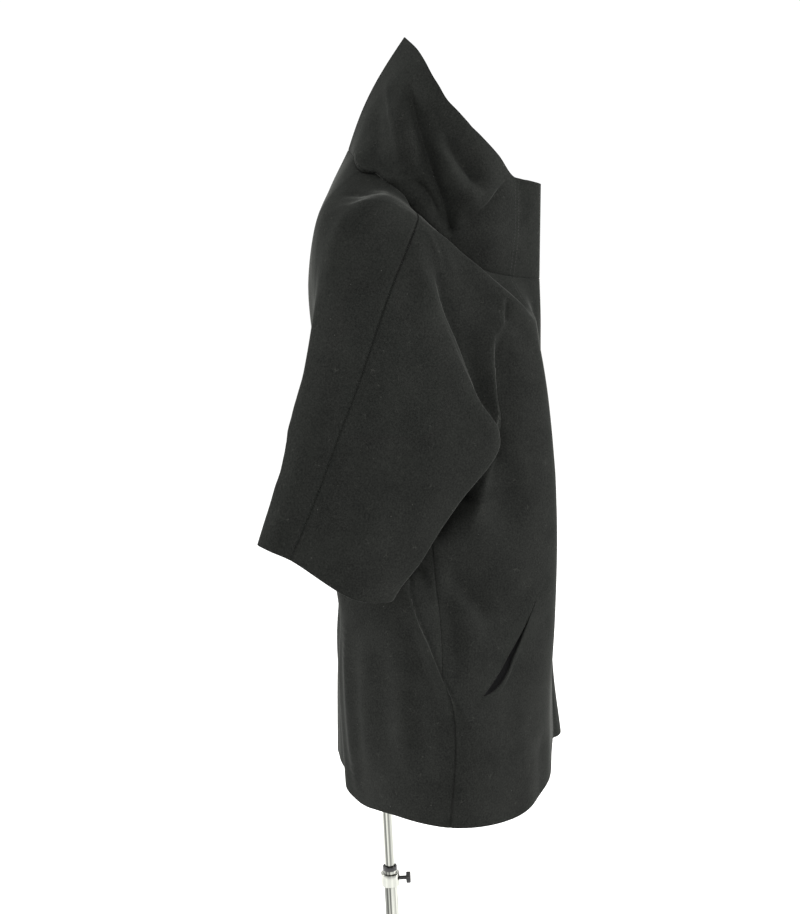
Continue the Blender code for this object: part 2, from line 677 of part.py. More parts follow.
def build_stand(pole_top, chrome, black):
    points, faces = turned(((POLE_RADIUS, POLE_FOOT), (POLE_RADIUS, pole_top - SEAT_GAP)))
    add_object("pole", points * MM, faces, chrome)

    foot = BASE_CROWN / 2
    bore = TUBE_RADIUS + SEAT_GAP
    profile = (
        (BASE_RADIUS, 0), (BASE_RADIUS, BASE_EDGE - BASE_BEVEL), (BASE_RADIUS - BASE_BEVEL, BASE_EDGE),
        (HUB_FOOT_RADIUS, BASE_CROWN), (HUB_RADIUS, BASE_CROWN + HUB_FOOT),
        (HUB_RADIUS, HUB_HEIGHT - BASE_BEVEL), (HUB_RADIUS - BASE_BEVEL, HUB_HEIGHT),
        (bore, HUB_HEIGHT), (bore, foot),
    )
    points, faces = turned(profile)
    add_object("base", points * MM, faces, chrome)

    low = foot + SEAT_GAP
    profile = ((TUBE_BORE, low), (TUBE_RADIUS, low), (TUBE_RADIUS, TUBE_TOP), (TUBE_BORE, TUBE_TOP))
    points, faces = turned(profile, loop=True)
    tube = add_object("lower_tube", points * MM, faces, chrome)

    seat = TUBE_TOP + SEAT_GAP
    profile = ((TUBE_BORE, seat), (BUSH_RADIUS, seat), (BUSH_RADIUS, seat + BUSH_HEIGHT - EDGE_BEVEL),
               (BUSH_RADIUS - EDGE_BEVEL, seat + BUSH_HEIGHT), (TUBE_BORE, seat + BUSH_HEIGHT))
    points, faces = turned(profile, loop=True)
    add_object("tube_bush", points * MM, faces, black)

    top = TUBE_TOP - CLAMP_DROP
    low = top - CLAMP_HEIGHT
    profile = ((bore, low), (CLAMP_RADIUS - EDGE_BEVEL, low), (CLAMP_RADIUS, low + EDGE_BEVEL),
               (CLAMP_RADIUS, top - EDGE_BEVEL), (CLAMP_RADIUS - EDGE_BEVEL, top), (bore, top))
    points, faces = turned(profile, loop=True)
    clamp = add_object("clamp_collar", points * MM, faces, chrome)
    build_screw((low + top) / 2, (tube, clamp), black)


def lay_forward(points):
    """Turns a shape from standing along Z to pointing forward."""
    x, y, z = points.T
    return np.stack([x, -z, y], axis=1)


def build_screw(height, drilled, black):
    """A thumbscrew that passes through the clamp and the tube to the pole."""
    tip = POLE_RADIUS + SEAT_GAP
    end = SCREW_REACH + KNOB_WIDTH
    profile = (
        (SCREW_RADIUS, tip), (SCREW_RADIUS, SCREW_REACH), (KNOB_RADIUS - EDGE_BEVEL, SCREW_REACH),
        (KNOB_RADIUS, SCREW_REACH + EDGE_BEVEL), (KNOB_RADIUS, end - EDGE_BEVEL),
        (KNOB_RADIUS - EDGE_BEVEL, end),
    )
    axis = (0, 0, height * MM)
    points, faces = turned(profile)
    add_object("thumbscrew", lay_forward(points) * MM, faces, black, axis)
    points, faces = turned(((SCREW_RADIUS + SEAT_GAP, 0), (SCREW_RADIUS + SEAT_GAP, SCREW_REACH)))
    drill = add_object("screw_drill", lay_forward(points) * MM, faces, None, axis)
    drill.hide_render = True
    drill.display_type = "WIRE"
    for thing in drilled:
        hole = thing.modifiers.new("screw hole", "BOOLEAN")
        hole.operation = "DIFFERENCE"
        hole.solver = "EXACT"
        hole.object = drill


def main():
    clear_scene()
    wool = material("felted wool", WOOL, 0.95)
    lining = material("pocket lining", LINING, 0.7)
    calico = material("calico cover", CALICO, 0.9)
    wood = material("varnished wood", WOOD, 0.45)
    chrome = material("chromed steel", CHROME, 0.15, 1.0)
    steel = material("painted steel", BLACK_METAL, 0.5, 0.0)
    build_coat(wool, lining)
    pole_top = build_form(calico, wood, steel)
    build_stand(pole_top, chrome, steel)


main()
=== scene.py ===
"""A short felted-wool coat with a high funnel collar, hung closed on a limbless dress form and stand.

Metres, +Z up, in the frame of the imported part: the coat faces -Y and its right side is at -X.
"""
import math

import bmesh
import bpy
import numpy as np
from mathutils import Matrix, Vector


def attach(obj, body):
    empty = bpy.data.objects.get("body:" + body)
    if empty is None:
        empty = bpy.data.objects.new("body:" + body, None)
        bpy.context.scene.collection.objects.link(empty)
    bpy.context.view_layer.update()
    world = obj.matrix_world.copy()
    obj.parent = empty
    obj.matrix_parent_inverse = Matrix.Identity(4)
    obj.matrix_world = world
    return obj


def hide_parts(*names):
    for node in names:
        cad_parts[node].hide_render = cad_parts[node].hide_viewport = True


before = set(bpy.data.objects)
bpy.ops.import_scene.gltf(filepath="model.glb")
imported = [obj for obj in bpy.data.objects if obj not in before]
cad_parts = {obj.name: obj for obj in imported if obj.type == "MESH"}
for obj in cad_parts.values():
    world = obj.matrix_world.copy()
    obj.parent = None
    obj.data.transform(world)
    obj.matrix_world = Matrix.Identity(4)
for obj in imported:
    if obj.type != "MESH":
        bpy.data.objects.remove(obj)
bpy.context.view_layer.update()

# Camera: it stands at the coat's right side, a little above the shoulder, tipped down and turned a
# little about its own axis, as the photograph was taken.
CAMERA_PLACE = (-1.95, -0.046, 1.35)
CAMERA_LENS = 54.08
SENSOR_WIDTH = 36
# In pixels of the photograph
MIDDLE_ROW, HORIZON_ROW, FOCAL_LENGTH = 457, 204, 1373
CAMERA_TIP = math.atan((MIDDLE_ROW - HORIZON_ROW) / FOCAL_LENGTH)
CAMERA_ROLL = math.radians(2.8)

ahead = Vector((math.cos(CAMERA_TIP), 0, -math.sin(CAMERA_TIP)))
level_right = Vector((0, -1, 0))
level_up = level_right.cross(ahead)
right = math.cos(CAMERA_ROLL) * level_right - math.sin(CAMERA_ROLL) * level_up
up = math.sin(CAMERA_ROLL) * level_right + math.cos(CAMERA_ROLL) * level_up
camera = bpy.data.objects.new("camera", bpy.data.cameras.new("camera"))
camera.data.lens = CAMERA_LENS
camera.data.sensor_width = SENSOR_WIDTH
camera.matrix_world = Matrix.Translation(CAMERA_PLACE) @ Matrix((right, up, -ahead)).transposed().to_4x4()
bpy.context.scene.collection.objects.link(camera)
bpy.context.scene.camera = camera

# Base: a heavy round steel plate with a hub that takes the tube, turned and chromed.
# It stands flat on the floor and carries everything else.
MM = 0.001
TURNED_SIDES = 96
HARD_EDGE = math.radians(38)
SAME_PLACE = 1e-7


def to_linear(colour):
    """Linear colour of an sRGB hex value: c / 12.92 for a dark channel, else ((c + 0.055) / 1.055) ** 2.4."""
    channels = np.array([int(colour[k:k + 2], 16) for k in (1, 3, 5)]) / 255
    linear = np.where(channels < 0.04045, channels / 12.92, ((channels + 0.055) / 1.055) ** 2.4)
    return (*linear.tolist(), 1.0)


def add_node(kind, sockets, tree=None, **settings):
    """Adds a shader node: settings go on the node, and a socket gets a value, or a link from a source, which is a
    pair of a node and the output to use.  Where no tree is given, it is that of the sources."""
    sources = {name for name, value in sockets.items()
               if isinstance(value, tuple) and isinstance(value[0], bpy.types.Node)}
    tree = tree or next(sockets[name][0].id_data for name in sources)
    made = tree.nodes.new("ShaderNode" + kind)
    for name, value in settings.items():
        setattr(made, name, value)
    for name, value in sockets.items():
        if name in sources:
            tree.links.new(value[0].outputs[value[1]], made.inputs[name])
        else:
            made.inputs[name].default_value = value
    return made


def start_finish(name, **sockets):
    """A new finish with constant values on its shader, its shader, and its coordinates as a source."""
    finish = bpy.data.materials.new(name)
    finish.use_nodes = True
    shader = finish.node_tree.nodes["Principled BSDF"]
    for socket, value in sockets.items():
        shader.inputs[socket.replace("_", " ")].default_value = value
    return finish, shader, (add_node("TexCoord", {}, finish.node_tree), "Object")


def feed(shader, **sources):
    """Links each source to the shader's socket of that name."""
    for socket, (node, output) in sources.items():
        shader.id_data.links.new(node.outputs[output], shader.inputs[socket.replace("_", " ")])


def add_mapping(place, **sockets):
    """Coordinates moved, turned or stretched, as a source."""
    return add_node("Mapping", {"Vector": place, **sockets}), 0


def add_noise(place, size, **sockets):
    """Noise in patches about so many mm wide, as a source."""
    return add_node("TexNoise", {"Vector": place, "Scale": 1 / (size * MM), **sockets}), 0


def add_math(operation, *values):
    """A sum on a source and other sources or numbers, as a source."""
    return add_node("Math", dict(enumerate(values)), operation=operation), 0


def add_range(value, low, high, to_low=0.0, to_high=1.0):
    """A value between two limits turned into one between two others, as a source."""
    return add_node("MapRange", {0: value, 1: low, 2: high, 3: to_low, 4: to_high}), 0


def mix_tones(share, *tones):
    """A share of the way from one tone, in hex or a source, to another, as a source."""
    first, last = (to_linear(tone) if isinstance(tone, str) else tone for tone in tones)
    return add_node("Mix", {0: share, 6: first, 7: last}, data_type="RGBA"), 2


def chromed_steel(name, reflection_streak_tone):
    """Chromed steel, polished: bright, with hair-fine scratches and a painted reflection, straight upright streaks
    of a darker tone in its colour that stand for dark things mirrored in it.
    """
    finish, shader, place = start_finish(name, Metallic=1.0)
    upright = add_mapping(place, Location=(0, 0, 9 * MM), Scale=(1, 1, 0))
    scratch = add_noise(upright, 1.2, Detail=3)
    worn = add_math("MULTIPLY", scratch, add_noise(place, 40))
    # Painted reflection: upright streaks of the darker tone mixed into the colour, where dark surroundings would
    # be mirrored
    painted_reflection_streak = add_range(add_noise(upright, 5, Detail=1), 0.4, 0.56)
    feed(shader, Roughness=add_range(worn, 0.1, 0.45, 0.07, 0.22),
         Base_Color=mix_tones(painted_reflection_streak, reflection_streak_tone, "#B4B5AE"))
    return finish


def grid_quads(index):
    """Four-sided faces between neighbouring numbers of a grid."""
    return np.stack([index[:-1, :-1], index[:-1, 1:], index[1:, 1:], index[1:, :-1]], axis=-1).reshape(-1, 4)


def turned(profile):
    """A surface of revolution: (r cos t, r sin t, h) for each corner (r, h) of a closed profile and turn t."""
    radius, height = np.array(profile, float).T
    turn = np.arange(TURNED_SIDES) * 2 * math.pi / TURNED_SIDES
    across, along = np.meshgrid(turn, radius)
    points = np.stack([along * np.cos(across), along * np.sin(across), np.meshgrid(turn, height)[1]], axis=-1)
    index = np.arange(points[..., 0].size).reshape(points.shape[:2])
    ring = np.vstack([index, index[:1]])
    return points.reshape(-1, 3) * MM, grid_quads(np.hstack([ring, ring[:, :1]]))


def make_piece(name, points, quads, finish, body, slot, stands_for):
    """A smooth mesh from an array of points and one of quads, riding on a body in place of a CAD node."""
    mesh = bpy.data.meshes.new(name)
    mesh.vertices.add(len(points))
    mesh.vertices.foreach_set("co", np.ascontiguousarray(points, np.float32).ravel())
    mesh.loops.add(quads.size)
    mesh.loops.foreach_set("vertex_index", np.ascontiguousarray(quads, np.int32).ravel())
    mesh.polygons.add(len(quads))
    mesh.polygons.foreach_set("loop_start", np.arange(0, quads.size, 4, dtype=np.int32))
    mesh.update(calc_edges=True)
    mesh.materials.append(finish)
    piece = bpy.data.objects.new(name, mesh)
    bpy.context.scene.collection.objects.link(piece)
    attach(piece, body)
    if stands_for:
        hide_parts(stands_for)
    mesh.shade_smooth()
    return piece


def close_poles(piece):
    """Joins the points of a hard piece that share a place, such as a pole's, and keeps its edges sharp."""
    work = bmesh.new()
    work.from_mesh(piece.data)
    bmesh.ops.remove_doubles(work, verts=work.verts, dist=SAME_PLACE)
    work.to_mesh(piece.data)
    work.free()
    piece.data.set_sharp_from_angle(angle=HARD_EDGE)


def make_turned(name, profile, *settings):
    """A turned hard piece."""
    close_poles(make_piece(name, *turned(profile), *settings))


# The plate's colour carries faint painted reflection streaks
plate_chrome = chromed_steel("chromed steel, spun", "#A6A7A1")
BASE_PROFILE = (
    (0, 0), (173.8, 0), (174.6, 0.3), (175, 1), (175, 3), (174.7, 4), (174, 4.7), (173, 5), (120, 7.4),
    (70, 9.6), (40, 11), (28, 11.9), (22, 13.2), (20, 15.5), (20, 31.5), (19.7, 33), (19, 33.7), (18, 34),
    (10.3, 34), (10.3, 5.5), (0, 5.5),
)
make_turned("stand_base", BASE_PROFILE, plate_chrome, "stand", "bright_metal", "base")

# Lower tube: drawn steel tube, chromed, pressed into the hub.  The clamp collar near its mouth is
# turned steel, and a black nylon bush in the mouth steadies the pole.
TUBE_PROFILE = (
    (7.9, 5.8), (10, 5.8), (10, 351.3), (9.8, 351.8), (9.3, 352), (8.2, 352), (7.9, 351.7),
)
# The tube's and pole's colour carries dark painted reflection streaks
tube_chrome = chromed_steel("chromed steel, drawn", "#4E4F4C")
make_turned("stand_tube", TUBE_PROFILE, tube_chrome, "stand", "bright_metal", "lower_tube")
CLAMP_PROFILE = (
    (10.3, 327), (13.3, 327), (14.1, 327.3), (14.5, 328), (14.5, 346), (14.1, 346.7), (13.3, 347), (10.3, 347),
)
make_turned("stand_clamp", CLAMP_PROFILE, plate_chrome, "stand", "bright_metal", "clamp_collar")


def add_bump(height, strength, depth):
    """Bumps so many mm deep, as a source."""
    return add_node("Bump", {"Height": height, "Strength": strength, "Distance": depth * MM}), 0


def satin_black(name, rough):
    """Black paint or nylon, satin: a fine orange-peel grain and a few rubbed, lighter patches."""
    finish, shader, place = start_finish(name)
    rub = add_noise(place, 18, Detail=4)
    feed(shader, Base_Color=mix_tones(rub, "#161617", "#2B2B2C"),
         Roughness=add_range(rub, 0.3, 0.7, rough - 0.06, rough + 0.08),
         Normal=add_bump(add_noise(place, 0.9), 0.12, 0.2))
    return finish


black_nylon = satin_black("black nylon, moulded", 0.42)
black_paint = satin_black("black paint on steel", 0.5)
BUSH_PROFILE = (
    (7.9, 352.3), (10.8, 352.3), (10.8, 357.3), (10.5, 358), (9.8, 358.3), (8.5, 358.3), (7.9, 357.8),
)
make_turned("tube_bush_moulding", BUSH_PROFILE, black_nylon, "stand", "black_metal", "tube_bush")

# Thumbscrew: a steel screw with a fluted black knob, threaded through the clamp collar and the tube.
# Its tip grips the pole and holds the height.
SCREW_HEIGHT = 337
FLUTES = 12
FLUTE_DEPTH = 0.7
FLUTES_FROM, FLUTES_DEEPEN_OVER = 6, 2
SCREW_PROFILE = (
    (0, 7.8), (2.6, 7.8), (3, 8.3), (3, 23.7), (4.5, 23.9), (7, 24), (8, 24.4), (8.5, 25.2), (8.5, 29.8),
    (8, 30.6), (7, 31), (5, 31), (4.4, 30.4), (0, 30.4),
)
points, quads = turned(SCREW_PROFILE)
radius = np.hypot(points[:, 0], points[:, 1])
groove = np.clip((radius / MM - FLUTES_FROM) / FLUTES_DEEPEN_OVER, 0, 1) * FLUTE_DEPTH * MM
turn = np.arctan2(points[:, 1], points[:, 0])
shrink = 1 - groove * (0.5 - 0.5 * np.cos(FLUTES * turn)) / np.maximum(radius, MM)
points[:, :2] *= shrink[:, None]
points = np.stack([points[:, 0], -points[:, 2], points[:, 1] + SCREW_HEIGHT * MM], axis=1)
close_poles(make_piece("thumbscrew_fluted", points, quads, black_nylon, "screw", "black_metal", "thumbscrew"))

# Pole: drawn steel tube, chromed, that slides in the lower tube.
# Its top end goes up into the socket under the dress form.
POLE_PROFILE = ((0, 120), (6.8, 120), (7.3, 120.2), (7.5, 120.7), (7.5, 635.2), (7.2, 635.4), (0, 635.4))
make_turned("stand_pole", POLE_PROFILE, tube_chrome, "mast", "bright_metal", "pole")

# Dress form: a padded torso without limbs, covered in calico, with a flat turned cap on the neck and
# a black steel socket screwed to its underside.
SOCKET_PROFILE = (
    (0, 635.7), (7.9, 635.7), (7.9, 593.7), (14.2, 593.7), (15, 594.5), (15, 634), (15.8, 635.4), (17, 635.7),
    (29, 635.7), (29.7, 636), (30, 636.7), (30, 639.7), (0, 639.7),
)
make_turned("form_socket_flange", SOCKET_PROFILE, black_paint, "figure", "black_metal", "form_socket")

FORM_COLUMNS = ("height", "half_width", "back", "front")
FORM_LEVELS = (
    (640, 150, -42, 118), (690, 164, -45, 130), (740, 170, -45, 134), (800, 168, -44, 130),
    (860, 157, -42, 121), (930, 140, -38, 112), (1000, 130, -36, 110), (1050, 131, -38, 120),
    (1100, 136, -43, 134), (1160, 146, -49, 146), (1210, 155, -52, 140), (1260, 164, -53, 124),
    (1300, 170, -49, 104), (1326, 168, -41, 86), (1344, 158, -32, 77), (1358, 138, -23, 71),
    (1370, 109, -13, 66), (1382, 80, -4, 67), (1395, 63, 2, 74), (1411, 56, 8, 83), (1428, 53, 14, 91),
)
FORM_STEPS = 6
FORM_SIDES = 120
FORM_SQUARENESS = 2.3
CALICO_BAND = 2
CAP_LEVELS = ((0.3, 0.97), (1.0, 1.0), (5.2, 1.0), (6.6, 0.985), (7.4, 0.95), (7.9, 0.88), (8.0, 0.8))


def spline_span(points, knots, share):
    """One span of a smooth curve through four points, at a share of the way from the second to the third:
    straight mixes of neighbours, then of those, then of those, by their distance along the knots."""
    time = knots[1] + share * (knots[2] - knots[1])
    level = points
    for first, reach in ((0, 1), (0, 2), (1, 1)):
        level = [
            ((knots[k + reach] - time) * before + (time - knots[k]) * after) / (knots[k + reach] - knots[k])
            for k, (before, after) in enumerate(zip(level, level[1:]), first)
        ]
    return level[0]


def spline(points, steps):
    """Smooth curves through points along the first axis, cut into the given number of steps a span; the
    knots lie the square root of the chord apart, so that a curve never loops."""
    points = np.asarray(points, float)
    padded = np.concatenate([2 * points[:1] - points[1:2], points, 2 * points[-1:] - points[-2:-1]])
    chords = np.linalg.norm(np.diff(padded, axis=0), axis=-1, keepdims=True)
    knots = np.concatenate([np.zeros_like(chords[:1]), np.cumsum(np.sqrt(chords), axis=0)])
    rows = [
        spline_span(padded[span:span + 4], knots[span:span + 4], step / count)
        for span, count in enumerate(steps) for step in range(count)
    ]
    return np.array(rows + [points[-1]])


def curve(points, steps):
    """One smooth curve through points; a single number of steps is that of each span."""
    if isinstance(steps, int):
        steps = (steps,) * (len(points) - 1)
    return spline(np.array(points, float)[:, None], steps)[:, 0]


def form_surface(levels):
    """Squared ovals: across = w sign(sin t) |sin t| ** (2/s), ahead = d sign(cos t) |cos t| ** (2/s)."""
    turn = np.arange(FORM_SIDES) * 2 * math.pi / FORM_SIDES
    power = 2 / FORM_SQUARENESS
    across = np.sign(np.sin(turn)) * np.abs(np.sin(turn)) ** power
    ahead_share = np.sign(np.cos(turn)) * np.abs(np.cos(turn)) ** power
    column = {name: levels[:, [k]] for k, name in enumerate(FORM_COLUMNS)}
    middle = (column["front"] + column["back"]) / 2
    depth = (column["front"] - column["back"]) / 2
    height = np.repeat(column["height"], FORM_SIDES, axis=1)
    return np.stack([column["half_width"] * across, -middle - depth * ahead_share, height], axis=-1)


def close_ends(points):
    """Adds a point in the middle of the first and of the last ring, and the quads of the closed skin."""
    ends = [np.repeat(points[k:k + 1].mean(axis=1, keepdims=True), points.shape[1], axis=1) for k in (0, -1)]
    points = np.concatenate([ends[0], points, ends[1]])
    index = np.arange(points[..., 0].size).reshape(points.shape[:2])
    return points.reshape(-1, 3) * MM, grid_quads(np.hstack([index, index[:, :1]]))


def add_bands(place, size, **settings):
    """Soft bands 2 pi times so many mm apart, as a source: the node's waves are sin(20 x), x being scaled."""
    return add_node("TexWave", {"Vector": place, "Scale": 1 / (20 * size * MM)}, **settings), 1


def calico_cover():
    """Unbleached calico, plain weave: warm off-white, matte, with slubs, and threads drawn 13 mm apart to show."""
    finish, shader, place = start_finish("calico, plain weave", Roughness=0.92, Sheen_Weight=0.15)
    warp, weft = (add_bands(place, CALICO_BAND, bands_direction=way) for way in ("X", "Z"))
    weave = add_math("MULTIPLY", warp, weft)
    slub = add_noise(place, 9, Detail=5)
    feed(shader, Base_Color=mix_tones(slub, "#B9AB93", "#DACDB6"),
         Normal=add_bump(weave, 0.3, 0.3))
    return finish


def varnished_beech():
    """Varnished beech, turned: brown, with fine stretched flecks under a satin coat."""
    finish, shader, place = start_finish("beech, varnished", Coat_Weight=0.4, Coat_Roughness=0.25)
    grain = add_noise(add_mapping(place, Scale=(0.12, 1, 1)), 2.5, Detail=6)
    feed(shader, Base_Color=mix_tones(grain, "#4A2A14", "#9A6534"),
         Roughness=add_range(grain, 0.3, 0.7, 0.5, 0.36))
    return finish


form_points = form_surface(curve(FORM_LEVELS, FORM_STEPS))
torso = make_piece("form_torso_cover", *close_ends(form_points), calico_cover(), "figure", "calico", "form_torso")
neck_ring = form_points[-1]
neck_middle = neck_ring.mean(axis=0)
cap_points = np.stack([
    neck_middle + (neck_ring - neck_middle) * scale + (0, 0, rise) for rise, scale in CAP_LEVELS
])
cap = make_piece(
    "form_neck_cap", *close_ends(cap_points), varnished_beech(), "figure", "varnished_wood", "neck_cap")
for piece in (torso, cap):
    close_poles(piece)

# Fronts: thick felted wool, cut with the front half of each sleeve in one piece.  The right laps over
# the left, and each has a curved pocket slit.  The whole half coat is worked out here, because its
# fronts, backs and collar share their seams.
CLOTH = 2.4
SEAM_GAP = -0.1
SEAM_PRESS = 1.2
LAP_GAP = 0.7
LAP = 36
LAP_STEP = 12
LAP_RAMP = 2
LAP_STRIPS = 7
COLLAR_BULGE = 9
# Rows of faces between the levels neck, shoulder, chest, upper arm, elbow and underarm, then from the
# underarm to waist, hip, thigh and hem, and in the sleeve to forearm and hem
JOINED_ROWS = (28, 28, 22, 22, 22)
SKIRT_ROWS = (28, 40, 40, 40)
LOWER_SLEEVE_ROWS = (14, 22)
COLLAR_ROWS = 50
EDGE_COLUMNS = ("forward", "height", "fall", "rise")
FRONT_EDGE = {
    "neck": (254, 1237, 25, 4), "shoulder": (254, 1188, 14, 3), "chest": (252, 1130, 7, 2),
    "upper arm": (252, 1074, 4, 0), "elbow": (254, 1014, 3, 0), "underarm": (256, 952, 3, 0),
    "waist": (256, 880, 3, 0), "hip": (255, 770, 5, 0), "thigh": (257, 660, 10, 0), "hem": (266, 562, 17, 2),
}
RIM_EDGE = (260, 1368, 40, 11)
# Lines down the right half: strips of faces before each, its place on the collar's rim, and its places at the
# levels from the neck down, as out from the middle, forward of the pole and height in mm
LINES = {
    "quarter": (22, (62, 198, 1408), ((78, 173, 1257), (100, 226, 1214), (106, 239, 1150), (112, 247, 1085),
        (116, 251, 1016), (120, 253, 952), (124, 252, 880), (130, 245, 770), (134, 235, 660),
        (128, 233, 540))),
    "ridge": (22, (80, 175, 1433), ((94, 130, 1289), (146, 166, 1263), (138, 194, 1186), (160, 187, 1118),
        (172, 191, 1042), (176, 186, 962), (188, 184, 880), (208, 179, 770), (220, 177, 660),
        (216, 182, 530))),
    "front crease in": (30, (85, 166, 1442), ((98, 111, 1307), (160, 138, 1282), (166, 142, 1201),
        (185, 150, 1118), (184, 153, 1034), (203, 80, 962))),
    "front crease out": (6, (87, 162, 1446), ((100, 103, 1315), (167, 126, 1290), (177, 130, 1205),
        (195, 146, 1118), (197, 152, 1034), (215, 79, 962))),
    "front fold": (16, (89, 158, 1451), ((101, 95, 1324), (179, 104, 1306), (218, 97, 1207), (229, 138, 1108),
        (222, 174, 1045), (240, 118, 972), (251, 80, 922), (266, 37, 858))),
    "outer front": (24, (90, 152, 1458), ((101, 87, 1332), (183, 93, 1316), (228, 69, 1226), (257, 66, 1118),
        (270, 68, 1052), (287, 32, 978), (294, 4, 924), (301, -16, 867))),
    "overarm": (24, (91, 145, 1466), ((100, 80, 1339), (184, 82, 1325), (231, 42, 1238), (267, -2, 1130),
        (280, -28, 1072), (292, -58, 1002), (297, -78, 960), (302, -96, 923))),
    "crown": (14, (89, 131, 1482), ((97, 58, 1364), (194, 28, 1352), (229, -8, 1256), (260, -42, 1142),
        (272, -66, 1082), (285, -94, 1010), (291, -110, 967), (296, -121, 934))),
    "back fold": (14, (83, 121, 1501), ((92, 41, 1382), (196, -16, 1334), (214, -44, 1244), (241, -74, 1128),
        (253, -94, 1072), (266, -114, 1000), (272, -127, 965), (277, -137, 938))),
    "inner back": (14, (75, 114, 1514), ((86, 28, 1394), (172, -34, 1336), (190, -51, 1244), (214, -60, 1130),
        (224, -60, 1070), (236, -25, 990), (246, -36, 942), (256, -58, 896))),
    "back crease out": (14, (64, 108, 1528), ((80, 20, 1401), (150, -40, 1341), (168, -55, 1246),
        (184, -47, 1132), (196, -12, 1052), (215, 79, 962))),
    "back crease in": (6, (59, 106, 1533), ((75, 16, 1405), (138, -42, 1343), (157, -57, 1246),
        (173, -46, 1132), (184, -9, 1052), (203, 80, 962))),
    "blade": (54, (36, 96, 1553), ((55, 6, 1414), (100, -43, 1346), (112, -63, 1255), (118, -60, 1150),
        (124, -56, 1060), (134, -51, 957), (146, -48, 880), (157, -46, 770), (162, -44, 660),
        (160, -41, 545))),
    "centre back": (30, (0, 81, 1573), ((0, -4, 1426), (0, -41, 1356), (0, -65, 1268), (0, -63, 1155),
        (0, -60, 1060), (0, -57, 957), (0, -54, 880), (0, -53, 770), (0, -62, 660), (0, -68, 547))),
}
SIDE_SEAM = ((203, 80, 962), (222, 84, 880), (249, 94, 770), (264, 100, 660), (271, 88, 544))
UNDERARM_SEAM = ((215, 79, 962), (234, 56, 922), (246, 18, 868))
LINE_STRIPS, RIM, LEVELS = ({line: row[k] for line, row in LINES.items()} for k in range(3))
line_names = tuple(LINES)
crown = line_names.index("crown")
FRONT_LINES, BACK_LINES = line_names[:crown], line_names[crown:]
SLEEVE_LINES = line_names[line_names.index("front fold"):line_names.index("back crease out")]
# The roll over the neck seam at the side, with a crease along its middle
NECK_ROLL = ((97, 27, 1388), (94, 44, 1383), (97, 57, 1372), (99, 68, 1357), (101, 83, 1342))
